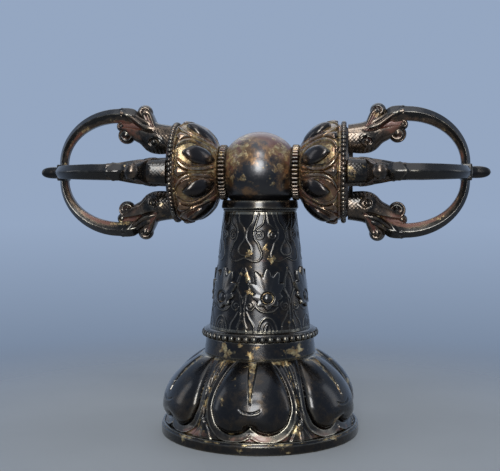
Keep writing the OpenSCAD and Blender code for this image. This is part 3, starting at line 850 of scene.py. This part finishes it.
def flame_share(x, z, lean, length, width):
    """Share of the way into one flame, 1 on its middle line and 0 on the two arcs that bound it."""
    turn = math.radians(lean)
    across = x * math.cos(turn) - z * math.sin(turn)
    along = (x * math.sin(turn) + z * math.cos(turn) - 0.5 * JEWEL_R) / length
    half = width / 2 * np.sqrt(np.maximum(0, 4 * along * (1 - along))) * (1.35 - 0.7 * along)
    return np.where((along > 0) & (along < 1), np.clip(1 - np.abs(across) / (half + 0.05), 0, 1), 0)


def emblem_height(x, z):
    """Height of the relief: a domed jewel in a ring on flat flames with soft edges, below zero elsewhere."""
    reach = np.hypot(x, z) / JEWEL_R
    flames = np.max([flame_share(np.abs(x), z, *flame) for flame in FLAMES], 0)
    plate = 0.9 * ease(0, 0.35, flames) + 0.1 * flames
    jewel = 1.25 * dome(reach / 0.66)
    ring = ridge((reach - 0.86) * JEWEL_R, 0.6)
    height = np.max([np.where(reach > 0.75, plate, 0), jewel, ring], 0)
    return np.where(height > 0.04, height, -0.5)


def emblem_skin(turn, rows=86, columns=68):
    """Wraps the relief on the cone at one angle: radius = cone + height, with an inner layer to close it."""
    z = np.linspace(-6.4, 14.4, rows)[:, None]
    x = np.linspace(-8.4, 8.4, columns)[None]
    height = RELIEF_H * emblem_height(*np.broadcast_arrays(x, z))
    height = blur(blur(height, 1, 0, False), 1, 1, False)
    base = column_radius(emblem_z + z)
    top, under = (about_z(base + rise, turn + x / base, emblem_z + z) for rise in (height, -RELIEF_ROOT))
    gilt = 0.30 * band(height, 0.0, 0.75, 0.2)
    return skin(np.concatenate([top, under[:, ::-1]], 1), depth=0.6, gilt=np.concatenate([gilt, 0 * gilt], 1))


emblems = [emblem_skin(PATTERN_TURN + turn) for turn in circle(SIXTHS)]
piece("column_emblems", emblems, emblem_bronze)

# %% [markdown]
# ## Ball and inner rings
#
# The ball is the seed of the vajra, ground smooth and handled most, so it has patches of gold and
# red lacquer over dark metal. A ring of short flutes, like a milled edge, sits on each side. A
# ready-made ball has no flat sides for the rings, so the ball is turned from a profile, and
# the flutes are added to the radius of a ring.

# %% Ball
AXLE_R, DENT = 3.0, 0.05
TO_AXIS = (0, 0, axis_z)
SIDES = {"left": np.diag([-1.0, -1.0, 1.0]), "right": np.eye(3)}


def along_x(profile, columns):
    """Revolves a profile of [radius, x] points round the long axis."""
    return about_x(profile[:, :1], circle(columns), profile[:, 1:])


def ball_skin(rows=96, columns=144):
    """Radius sqrt(R^2 - x^2) between two flat sides, with shallow dents and with paint by height and side."""
    x = np.linspace(-ball_half, ball_half, rows)
    profile = np.stack([np.sqrt(ball_r**2 - x**2), x], -1)
    points = along_x(np.vstack([[[AXLE_R, -ball_half]], profile, [[AXLE_R, ball_half]]]), columns)
    x, y, z = np.moveaxis(points, -1, 0)
    dent = DENT * np.sin(y * 0.5 + 1) * np.sin(z * 0.42) * np.cos(x * 0.38)
    points = points * (1 + dent[..., None] / ball_r)
    x, _, z = np.moveaxis(points, -1, 0)
    out = np.abs(x)
    # Lacquer, which also sets how much brown shows, rises towards the top and falls below zero low down, and
    # the gilt stays in the upper half, so the ball is darker towards the bottom.
    lacquer = 0.50 * ease(-4, 14, z) + 0.34 * ease(5, 13, out) * ease(-18, -2, z) - 0.32
    shoulder = ease(2, 12, out) * ease(-14, 6, z)
    left = ease(3, -9, x) * ease(-4, 9, z)
    flecks = spots(points, scattered(80, -ball_r, ball_r, 1.2, 11, (-180, 180))) * ease(-10, 2, z)
    return skin(points, gilt=0.32 * shoulder + 0.14 * left + 0.36 * flecks, lacquer=lacquer)


piece("hub_ball", [placed(ball_skin(), TO_AXIS)], ball_bronze)

# %% Fluted rings
FLUTES, RING_R, FLUTE_R, FLUTE_GAP = 40, 12.5, 1.3, 0.4


def both_sides(name, skins, finish):
    """The same skins as a left and a right piece on the long axis."""
    for side, turn in SIDES.items():
        piece(f"{side}_{name}", [placed(s, TO_AXIS, turn) for s in skins], finish)


def fluted_ring(columns=480, rows=22):
    """Radius over x and angle: a ring with round-ended flutes, each a half circle in section."""
    t = np.linspace(0, 1, rows)[:, None]
    angle = circle(columns)
    phase = (angle * FLUTES / (2 * np.pi)) % 1 - 0.5
    ends = np.clip(4 * 1.6 * t * (1 - t), 0, 1) ** 0.5
    radius = RING_R - FLUTE_GAP + (FLUTE_R + FLUTE_GAP) * dome(phase / 0.46) * ends
    x = ball_half + (cup_start - ball_half) * t
    closing = ((1, 1), (0, 0))
    return about_x(np.pad(radius, closing, constant_values=AXLE_R), angle, np.pad(x, closing, mode="edge"))


both_sides("inner_ring", [skin(fluted_ring(), reach=0.8, depth=0.3, gilt=0.15)], prong_bronze)

# %% [markdown]
# ## Lotus cups
#
# Eight petals wrap each cup. A petal has two fine rims, a ground that was gilded and lacquered,
# and a polished almond boss. Leaf tips show between the petals at the wide end. Petals could be
# modelled one by one and joined. Here the cup is one surface whose radius adds these up, again
# by the distance to the petal's edge, so nothing has to be joined.

# %% Cup surface
CUP_PETALS = 8
CUP_FOOT_R, CUP_R, CUP_DRAW_IN = 13.4, 24.5, 1.2
BOSS_UP, BOSS_H, BOSS_HALF, BOSS_POINT, BOSS_TAIL = 9.2, 2.8, 4.7, 7.6, 8.9
OUTER_RIM_H, INNER_RIM_H, CUP_GROOVE = 0.85, 0.45, 0.55
TIP_HALF, TIP_H, TIP_KEEL = 3.4, 0.4, 1.0
PETAL_MID = 0.48


def petal_half(u):
    """Half width of a cup petal as a share of its room: it swells from the stem and closes in a round tip."""
    stem = 0.58 + 0.36 * dome((PETAL_MID - u) / PETAL_MID)
    tip = 0.08 + 0.86 * dome((u - PETAL_MID) / 0.47)
    return np.where(u < PETAL_MID, stem, tip)


def cup_grid(rows=112, across=62):
    """Radius over x and angle: a bowl plus rims, boss and leaf tips, minus a groove round each petal."""
    u = 1 - (1 - np.linspace(0, 1, rows)[:, None]) ** 1.15
    angle, q = petal_fold(CUP_PETALS, across, 180 / CUP_PETALS)
    bowl = CUP_FOOT_R + (CUP_R - CUP_FOOT_R) * (1 - (1 - u) ** 2.4) - CUP_DRAW_IN * ease(0.84, 1, u)
    half_arc = bowl * np.pi / CUP_PETALS
    length = cup_end - cup_start
    side, up = q * half_arc, u * 1.1 * length
    reach = q / petal_half(u)
    edge = np.clip(edge_distance(reach, half_arc * 2 / across, up), -9, 9)
    seam = (1 - q) * half_arc

    ends = ease(0, 0.10, u) * ease(1, 0.96, u)
    outer_rim = band(edge, -1.7, -0.1, 0.25) * ends
    inner_rim = band(edge, -2.8, -2.2, 0.22) * ends
    groove = ridge(edge - 0.3, 0.35) * ends
    outward = up > BOSS_UP
    tall = np.where(outward, (up - BOSS_UP) / BOSS_POINT, (BOSS_UP - up) / BOSS_TAIL)
    wide = BOSS_HALF * np.maximum(0, 1 - tall ** np.where(outward, 1.6, 2.2)) ** 0.85
    boss = dome(side / (wide + 0.01)) * dome(tall, 2.6) * ease(0.02, 0.12, u)
    tip_half = TIP_HALF * np.clip((0.96 - u) / 0.14, 0, 1)
    tip = ease(0.25, -0.25, seam - tip_half) * ease(0.3, 0.7, edge) * ease(0.58, 0.66, u)

    radius = (
        bowl + OUTER_RIM_H * outer_rim + INNER_RIM_H * inner_rim + BOSS_H * boss - CUP_GROOVE * groove
        + tip * (TIP_H + TIP_KEEL * ease(3.2, 0, seam))
    )
    ground = ease(0.05, 0.0, boss) * (1 - inner_rim) * (1 - 0.9 * tip)
    return about_x(radius, angle, cup_start + length * u), ground, ease(0.1, 0.4, boss)


cup_points, cup_ground, cup_boss = cup_grid()


def cup_skin(side, bright):
    """The cup on one side; bright sets how much gilding its ground has, and the ground is paler towards the
    top and red-brown towards the bottom.
    """
    upward = np.clip(cup_points[..., 2] / CUP_R, -1, 1)
    gilt = cup_ground * (bright + 0.20 * upward) - 0.6 * cup_boss
    lacquer = 0.20 * cup_ground * ease(0.3, -0.4, upward) - 0.55 * cup_boss
    part = skin(cup_points, reach=0.8, depth=0.25, gilt=gilt, lacquer=lacquer)
    return placed(part, TO_AXIS, SIDES[side])


for side, bright in (("left", 0.36), ("right", 0.26)):
    piece(side + "_calyx", [cup_skin(side, bright)], cup_bronze)

# %% [markdown]
# ## Beaded plates
#
# A plate with a beaded edge closes each cup and carries the heads of the prongs. Bumps on the
# plate's own edge would need a very fine grid all round. Separate balls don't, and as they are
# small here, each has few faces.

# %% Plates
PLATE_R, PLATE_BEAD_R, PLATE_BEADS = 24.0, 1.2, 64
plate_outline = [
    [1.0, cup_end], [PLATE_R - 0.5, cup_end], [PLATE_R - 0.5, cup_end + 2.1], [PLATE_R - 1.6, cup_end + 2.7],
    [PLATE_R - 2.6, x_neck - 2.2], [14.0, x_neck - 1.8], [12.0, x_neck], [1.0, x_neck],
]
plate = skin(along_x(soft_profile(plate_outline, 0.4, 0.4), 192), True, gilt=0.12)
plate_places = about_x(PLATE_R, circle(PLATE_BEADS, 0.5), cup_end + 1.5)
plate_sizes = np.outer(PLATE_BEAD_R * draw.uniform(0.92, 1.02, PLATE_BEADS), [1.12, 1, 1])
plate_beads = bead_skins(plate_places, plate_sizes, [1, 2], (0.8, PLATE_R - 0.2, PLATE_R + 0.9), 9, 12)
both_sides("outer_ring", [plate] + plate_beads, prong_bronze)

# %% [markdown]
# ## Prongs
#
# Each prong grows from the mouth of a sea monster: a scaled neck with an eye, a trunk that curls
# under the mouth, a jaw leaf that ends in a scroll, and combed strands that run on to the bar.
# Such a head would be modelled in wax. Here it is a handful of closed skins that grow into each
# other: a lofted head whose flanks carry a relief over (x, z), rolled scrolls, a leaf, and a ridged
# bar. All are worked out once, pointing up, and then turned to the eight places.

# %% Carving on the head of the sea monster
# Lines of [distance from the middle of the ball, distance from the long axis], and half widths.
HEAD_LOW = [
    [43.6, 9.8], [48, 9.3], [52, 9.3], [55, 9.9], [57.5, 11.3], [60.5, 14.3], [63, 15.7], [66.5, 17.8],
    [70.2, 21.5],
]
HEAD_HIGH = [
    [43.6, 23.3], [48, 23.9], [51, 24.5], [54, 26.0], [57, 27.6], [60, 28.4], [63.5, 29.4], [67, 30.8],
    [70.2, 31.6],
]
HEAD_HALF = [[43.6, 6.7], [48, 6.5], [52, 6.3], [56, 5.5], [60, 4.8], [64, 4.3], [70.2, 3.9]]
MOUTH_LINE = [[48, 20.0], [50.8, 20.2], [58, 21.3], [62.7, 24.6], [66, 27.0], [71, 29]]
SNOUT_LINE = [[57, 20.9], [60, 21.2], [64, 22.0], [70.5, 22.6]]
EYE_X, EYE_Z, EYE_R = 52.3, 15.1, 1.3
STRAND_GAP, FLANK_SCALE, NECK_SCALE, JAW_BEAD_GAP = 2.5, 1.9, 1.75, 1.9
LID_H, EYE_H, SOCKET_DEPTH, BROW_H = 0.6, 1.1, 0.35, 0.35
LINE_DEPTH, MOUTH_DEPTH, STRAND_H, SCALE_H = 0.9, 1.7, 0.75, 0.34
NECK_SCALE_H, JAW_BEAD_H = 0.2, 0.45


def scales(x, s, cell):
    """Pebbled scales: the highest of the domes round the nearest points of two interleaved lattices."""
    best = 0
    for shift in (0.0, 0.5):
        i = np.round(x / cell - shift) + shift
        j = np.round(s / cell - shift) + shift
        d = np.hypot(x / cell - i + 0.12 * ((s / cell - j) ** 2), s / cell - j)
        best = np.maximum(best, dome(d / 0.62))
    return best


def almond(x, z, half_length, half_height):
    """Reach in an almond: an ellipse toward +x and a point toward -x, 1 on its edge."""
    round_end = np.hypot(x / half_length, z / half_height)
    point_end = np.abs(z) / half_height + (x / half_length) ** 2
    return np.where(x > 0, round_end, point_end)


def flank_relief(x, z):
    """Height of the carving on a flank, over x along the head and z away from the axis, and its lacquer."""
    above = (z - flow(MOUTH_LINE, x)) * 0.85
    snout = flow(SNOUT_LINE, x)
    in_mouth = ease(57.5, 60, x) * ease(-0.1, -0.7, above) * ease(snout - 0.2, snout + 0.5, z)
    eye_x, eye_z = x - EYE_X, z - EYE_Z
    eye = almond(eye_x, eye_z, 3.0, 2.0)
    eye_ball = dome(np.hypot(eye_x - 0.5, eye_z) / EYE_R) * (eye < 1)
    brow = ridge(np.hypot(eye_x - 0.3, eye_z * 1.15) - 3.7, 0.6) * ease(0.5, 2.2, eye_z)
    strands = np.sqrt(0.5 - 0.5 * np.cos(2 * np.pi * above / STRAND_GAP))
    strands = strands * band(above, 0.1, 5.0, 0.3) * ease(52, 56, x)
    scaled = ease(1.15, 1.4, eye) * ease(63, 59, x) * ease(-0.4, -1.2, above)
    mouth_line = ridge(above, 0.5) * ease(50, 52, x) * ease(70, 67, x)
    height = (
        LID_H * ridge(eye - 1.08, 0.2) + EYE_H * eye_ball - SOCKET_DEPTH * (eye < 0.95) + BROW_H * brow
        - LINE_DEPTH * mouth_line - MOUTH_DEPTH * in_mouth + STRAND_H * strands
        + SCALE_H * scales(x, z, FLANK_SCALE) * scaled
    )
    lacquer = 0.55 * in_mouth + 0.30 * ease(55, 60, x) * ease(0, -1, above) - 0.05 * scaled
    return height, lacquer


# %% Head of the sea monster


def head_skin(rows=120, columns=156):
    """Lofts rounded boxes between throat and brow, then lifts them along their normals by the carving."""
    x = np.linspace(HEAD_LOW[0][0], HEAD_LOW[-1][0], rows)[:, None]
    angle = circle(columns, 0.5)
    low, high, half = (flow(line, x) for line in (HEAD_LOW, HEAD_HIGH, HEAD_HALF))
    y = half * signed_power(np.cos(angle), 0.7)
    z = low + (high - low) * (0.5 + 0.5 * signed_power(np.sin(angle), 0.82))
    points = grid(x, y, z)
    normal = normals_of(points, False)
    top = np.clip(normal[..., 2], 0, 1) ** 1.5
    flank = np.abs(normal[..., 1]) ** 1.2
    height, lacquer = flank_relief(points[..., 0], z)
    neck_scales = scales(points[..., 0], y, NECK_SCALE) * top * ease(57, 54.5, x)
    jaw_beads = (0.5 + 0.5 * np.cos(2 * np.pi * x / JAW_BEAD_GAP)) * ridge(z - low - 1.1, 0.6)
    lift = height * flank + NECK_SCALE_H * neck_scales + JAW_BEAD_H * jaw_beads * ease(59, 57, x)
    # Painted shade on the top of the head: less lacquer and a lowered relief darken its colour where it faces
    # the lights above.
    return skin(
        points + normal * lift[..., None], reach=0.7, depth=0.42,
        gilt=0.10 * flank, lacquer=lacquer * flank - 0.2 * top, wear_and_shade=-0.9 * top,
    )


head = head_skin()
print("head:", len(head["points"]), "points")

# %% Scrolls and jaw leaf
LEAF_PATH = [[50.4, 18.6], [53.2, 22.2], [55.6, 26.2], [57.6, 30.2]]
JAW_DIP, JAW_VEIN = 1.25, 0.45
KNOB, TRUNK, LIP = (58.1, 29.9), (67.6, 18.7), (70.2, 23.2)


def scroll_skin(centre, radius, half_width, pitch, wind, ball=0.0, rows=46, columns=72):
    """Rolled scroll: a drum, or a ball with ball = 1, with a spiral ridge over radius and angle."""
    t = np.linspace(-1, 1, rows)[:, None]
    angle = circle(columns)
    reach = radius * np.sqrt(np.clip(1 - np.abs(t) ** (2.6 - 0.6 * ball), 0.0004, 1))
    wave = np.sqrt(0.5 + 0.5 * np.cos(2 * np.pi * reach / pitch + wind * angle))
    face = ease(0.35, 0.75, np.abs(t)) * ease(0.0, 0.8, reach)
    y = half_width * signed_power(t, 0.75 + 0.25 * ball)
    y = y + np.sign(t) * ((0.9 * wave - 0.6) * face + 0.5 * ridge(reach, 0.9))
    points = grid(centre[0] + reach * np.cos(angle), y, centre[1] + reach * np.sin(angle))
    return skin(points, reach=0.6, depth=0.22, lacquer=0.12 * (1 - wave) * face)


def carried(path, away, off, y):
    """Section carried along a path in the plane of a prong: path + off * unit of away, and y across."""
    out = away / np.linalg.norm(away, axis=1, keepdims=True)
    spot = path[:, None] + out[:, None] * off[..., None]
    return grid(spot[..., 0], y, spot[..., 1])


def leaf_skin(rows=56, columns=64):
    """Jaw leaf: rounded sections along a rising path, thick in the plane of the head, with hollow flanks."""
    t = np.linspace(0, 1, rows)[:, None]
    path = drawn(LEAF_PATH, rows)
    along = np.gradient(path, axis=0)
    thick = flow([[0, 0.9], [0.35, 2.0], [0.75, 2.7], [1, 2.6]], t)
    half = flow([[0, 6.6], [0.4, 6.4], [0.75, 4.9], [1, 3.9]], t)
    angle = circle(columns)
    across = signed_power(np.sin(angle), 0.85)
    side = signed_power(np.cos(angle), 0.55)
    dip = JAW_DIP * ridge(across, 0.5) * ease(0.05, 0.25, t) * ease(1, 0.8, t)
    vein = JAW_VEIN * ridge(across, 0.12) * (dip > 0.2)
    y = half * side - np.sign(side) * (dip - vein) * np.abs(side) ** 0.5
    points = carried(path, along[:, ::-1] * [-1, 1], thick * across, y)
    return skin(points, reach=0.7, depth=0.25, lacquer=0.45 * np.clip(dip, 0, 1), gilt=0.10)


scrolls = [
    leaf_skin(),
    scroll_skin(KNOB, 4.0, 3.7, 2.2, -1, ball=1.0),
    scroll_skin(TRUNK, 4.3, 3.4, 2.2, 1),
    scroll_skin(LIP, 2.5, 2.7, 1.7, -1),
]
print("leaf and scrolls:", [len(s["points"]) for s in scrolls], "points")

# %% Bar and peg
X_CROWN, BAR_REACH, KNEE = 72.0, 32.2, 4.0
X_KNEE = x_tip - 9.8
BAR_THICK, KNEE_THICK, BAR_HALF, KNEE_HALF = 7.2, 4.4, 3.8, 3.0
COLLAR_X, COLLAR_Z, COLLAR_H = 70.0, 32.0, 0.34
BAR_CORNERS = [[1, 0.1], [0.10, 0.5], [-0.10, 0.5], [-1, 0.1], [-0.55, -0.5], [0.55, -0.5]]
PEG_R, PEG_DEPTH, PEG_UP = 2.5, 5.6, 16.2


def bar_skin(rows=132):
    """Six-cornered section along a quarter ellipse, with an oblique collar where it leaves the mouth."""
    outline = soft_profile(BAR_CORNERS, 0.09, 0.06)
    turn = np.linspace(-27, 90, rows)[:, None]
    t = np.radians(turn)
    slim = ease(0, 90, turn)
    flare = ease(2, -12, turn)
    thin = 1 - 0.62 * ease(-13, -27, turn)
    thick = (BAR_THICK + (KNEE_THICK - BAR_THICK) * slim) * (1 + 0.15 * flare) * thin
    half = (BAR_HALF + (KNEE_HALF - BAR_HALF) * slim) * (1 + 0.10 * flare) * (0.3 + 0.7 * thin)
    wide, tall = X_KNEE - KNEE_THICK / 2 - X_CROWN, BAR_REACH - BAR_THICK / 2 - KNEE
    middle = np.concatenate([X_CROWN + wide * np.sin(t), KNEE + tall * np.cos(t)], 1)
    away = np.concatenate([tall * np.sin(t), wide * np.cos(t)], 1)
    points = carried(middle, away, thick * outline[:, 1], half * outline[:, 0])
    oblique = ((points[..., 0] - COLLAR_X) * 6.1 - (points[..., 2] - COLLAR_Z) * 5.0) / 7.9
    collar = ridge(oblique, 0.45) + 0.6 * ease(0.2, -0.4, oblique) + 0.35 * ridge(oblique - 1.1, 0.35)
    lift = COLLAR_H * collar * ease(1.4, 0.2, oblique)
    points = points + normals_of(points, False) * lift[..., None]
    inner = ease(0.0, -0.35, outline[:, 1])
    return skin(points, reach=0.8, depth=0.2, gilt=0.28 * inner, lacquer=0.42 * inner - 0.5 * (1 - inner))


peg_start = x_plate - PEG_DEPTH
peg_profile = np.array([
    [PEG_R - 0.1, peg_start], [PEG_R, peg_start + 0.6], [PEG_R, x_neck], [PEG_R, x_neck + 2],
])
peg = placed(skin(along_x(peg_profile, 24)), (0, 0, PEG_UP))
prong_skins = [head, *scrolls, bar_skin(), peg]
print("skins in a prong:", len(prong_skins))

# %% Eight prongs in their places
ROLL = {"top": 0, "bottom": 180, "front": 90, "back": -90}


def rolled(degrees):
    """Turn about the long axis as a matrix."""
    c, s = math.cos(math.radians(degrees)), math.sin(math.radians(degrees))
    return np.array([[1, 0, 0], [0, c, -s], [0, s, c]])


for side, turn in SIDES.items():
    for where, roll in ROLL.items():
        # The left side is turned half round the upright axis, so its prongs roll the other way.
        skins = [placed(s, TO_AXIS, turn @ rolled(roll * turn[1, 1])) for s in prong_skins]
        piece(f"{side}_{where}_prong", skins, prong_bronze)

# %% [markdown]
# ## Central prongs
#
# A straight prong runs down the middle to the block where the four bars meet, and ends in a flat
# leaf-shaped tip. It could be joined from a rod, a box and a tip. Its section goes from round to
# square and back to a flattened oval, so one formula with a changing power makes the whole length.

# %% Straight middle prong
BLOCK_R, TIP_R, BAND_H = 4.1, 3.0, 0.45
STEM = [
    [x_neck - 0.2, 5.5], [x_neck + 2, 5.3], [x_neck + 4.5, 4.5], [80, 3.9], [96, 3.4], [104, TIP_R],
]


def central_skin(rows=150, columns=48):
    """Sections (r |cos|^p, r |sin|^p) along x, where p is 1 for a round section and near 0 for a square."""
    x = np.linspace(STEM[0][0], x_tip, rows)[:, None]
    block = band(x, X_KNEE - 4.6, X_KNEE + 0.6, 0.35)
    stem = flow(STEM, x)
    past_knee = np.clip((x - X_KNEE - 0.5) / (x_tip - X_KNEE - 0.5), 0, 1)
    tip = TIP_R * np.sqrt(np.maximum(0.0004, 1 - past_knee**3.4))
    radius = np.where(x > X_KNEE + 0.5, tip, stem) + block * (BLOCK_R - stem)
    radius = radius + BAND_H * (ridge(x - x_neck - 6.5, 0.5) + ridge(x - x_neck - 8.2, 0.5))
    power = 1 - 0.62 * block - 0.25 * ease(60, 75, x) * (past_knee <= 0)
    flat = 1 - 0.22 * ease(0, 0.3, past_knee)
    angle = circle(columns, 0.5)
    y = radius * flat * signed_power(np.cos(angle), power)
    z = radius * signed_power(np.sin(angle), power)
    return skin(grid(x, y, z), gilt=0.10 * ease(95, 60, x), lacquer=-0.4 * ease(80, 102, x))


both_sides("central_prong", [central_skin()], prong_bronze)
frame["nodes"]["core_rod"].data.materials.clear()
frame["nodes"]["core_rod"].data.materials.append(rod_bronze)
print("whole object:", sum(made.values()), "triangles in", len(made), "pieces")

# %% [markdown]
# ## Floor, light and camera
#
# The bronze stands on a plain, pale grey floor that fades into a pale blue-grey room. A tall soft
# light above the camera draws the broad highlights down the middle of every round form, a small
# one higher up adds the glints on the petals, and weaker ones above, beside and behind keep the
# other views readable. An image of a room could light it as well, but lamps and a plain gradient
# are easier to steer. The room is dimmer behind the camera, so metal that faces it stays dark.

# %% Floor
FLOOR_R, FLOOR_SIDES = 0.9, 96
FLOOR_DARK, FLOOR_PALE = (0.20, 0.204, 0.204, 1), (0.265, 0.269, 0.269, 1)
FADE_START, FADE_END = 0.08, 0.32


def floor_material():
    """Matt grey floor whose cover thins out with distance from the object, so that it has no visible edge."""
    material, tree, surface = new_material("pale_floor")
    place = add(tree, "ShaderNodeTexCoord").outputs["Object"]
    cloud = add(tree, "ShaderNodeTexNoise", {"Vector": place, "Scale": 9.0, "Detail": 4.0}).outputs[0]
    far = add(tree, "ShaderNodeVectorMath", {0: place}, operation="LENGTH").outputs["Value"]
    ends = {"Value": far, "From Min": FADE_START, "From Max": FADE_END, "To Min": 1.0, "To Max": 0.0}
    fade = add(tree, "ShaderNodeMapRange", ends, interpolation_type="SMOOTHSTEP").outputs[0]
    grey = mix_colour(tree, cloud, FLOOR_DARK, FLOOR_PALE)
    fill(tree, surface, {"Base Color": grey, "Roughness": 0.75, "Alpha": fade})
    return material


floor_mesh = bpy.data.meshes.new("floor")
floor_mesh.from_pydata(about_z(FLOOR_R, circle(FLOOR_SIDES), 0.0).tolist(), [], [list(range(FLOOR_SIDES))])
floor_mesh.materials.append(floor_material())
floor = put("floor", floor_mesh)
print("floor:", 2 * FLOOR_R, "m wide")

# %% Room
ROOM_LOW, ROOM_HIGH = (0.185, 0.24, 0.335, 1), (0.30, 0.385, 0.535, 1)
world = bpy.data.worlds.new("pale_room")
bpy.context.scene.world = world
world.use_nodes = True
room = world.node_tree
direction = add(room, "ShaderNodeTexCoord").outputs["Generated"]
way = add(room, "ShaderNodeSeparateXYZ", {0: direction}).outputs
rise = add(room, "ShaderNodeMapRange", {"Value": way["Z"], "From Min": -0.18, "From Max": -0.04}).outputs[0]
behind = {"Value": way["Y"], "From Min": -0.9, "From Max": 0.3, "To Min": 0.6}
dim = add(room, "ShaderNodeMapRange", behind).outputs[0]
air = mix_colour(room, 1.0, mix_colour(room, rise, ROOM_LOW, ROOM_HIGH), dim, "MULTIPLY")
fill(room, room.nodes["Background"].inputs, {"Color": air, "Strength": 1.0})
print("room:", world.name)

# %% Soft lights
AIM = np.array([0, 0, 0.09])


def soft_light(name, place, size, radiance, colour):
    """Oblong lamp that faces the middle of the object. Its power is pi times its area times its radiance."""
    lamp = bpy.data.lights.new(name, "AREA")
    lamp.shape = "RECTANGLE"
    lamp.size, lamp.size_y = size
    lamp.energy = math.pi * size[0] * size[1] * radiance
    lamp.color = colour
    thing = put(name, lamp)
    thing.location = place
    aim = AIM - np.array(place)
    thing.rotation_euler = (math.atan2(math.hypot(aim[0], aim[1]), -aim[2]), 0, math.atan2(-aim[0], aim[1]))
    print(name, round(lamp.energy, 2), "W")


soft_light("key_light", (0.04, -1.2, 0.50), (0.42, 0.64), 16.0, (0.94, 0.98, 1.0))
soft_light("high_light", (0.06, -0.75, 1.0), (0.34, 0.34), 10.0, (0.95, 0.98, 1.0))
soft_light("top_light", (0.0, -0.1, 1.3), (0.9, 0.9), 1.0, (0.95, 0.97, 1.0))
soft_light("left_light", (-1.1, -0.1, 0.5), (0.3, 0.9), 1.6, (0.9, 0.95, 1.0))
soft_light("right_light", (1.1, 0.1, 0.5), (0.3, 0.9), 1.6, (0.9, 0.95, 1.0))
soft_light("back_light", (-0.1, 1.1, 1.2), (1.5, 1.0), 0.8, (0.95, 0.98, 1.0))

# %% Camera
CAMERA_AZIMUTH, CAMERA_DISTANCE, CAMERA_HEIGHT = 5.7, 0.450, 0.1216
CAMERA_PITCH, CAMERA_YAW = -3.08, 0.64
FOCAL_PX, FRAME_W, SENSOR_W = 900.0, 500.0, 36.0

camera_data = bpy.data.cameras.new("photo_camera")
camera_data.sensor_width = SENSOR_W
camera_data.sensor_fit = "HORIZONTAL"
camera_data.lens = SENSOR_W * FOCAL_PX / FRAME_W
camera_data.clip_start = 0.01
camera = put("photo_camera", camera_data)
azimuth = math.radians(CAMERA_AZIMUTH)
camera.location = (CAMERA_DISTANCE * math.sin(azimuth), -CAMERA_DISTANCE * math.cos(azimuth), CAMERA_HEIGHT)
camera.rotation_euler = (math.radians(90 + CAMERA_PITCH), 0, azimuth + math.radians(CAMERA_YAW))
bpy.context.scene.camera = camera
bpy.context.scene.view_settings.view_transform = "Standard"
print("camera at", [round(c, 3) for c in camera.location])
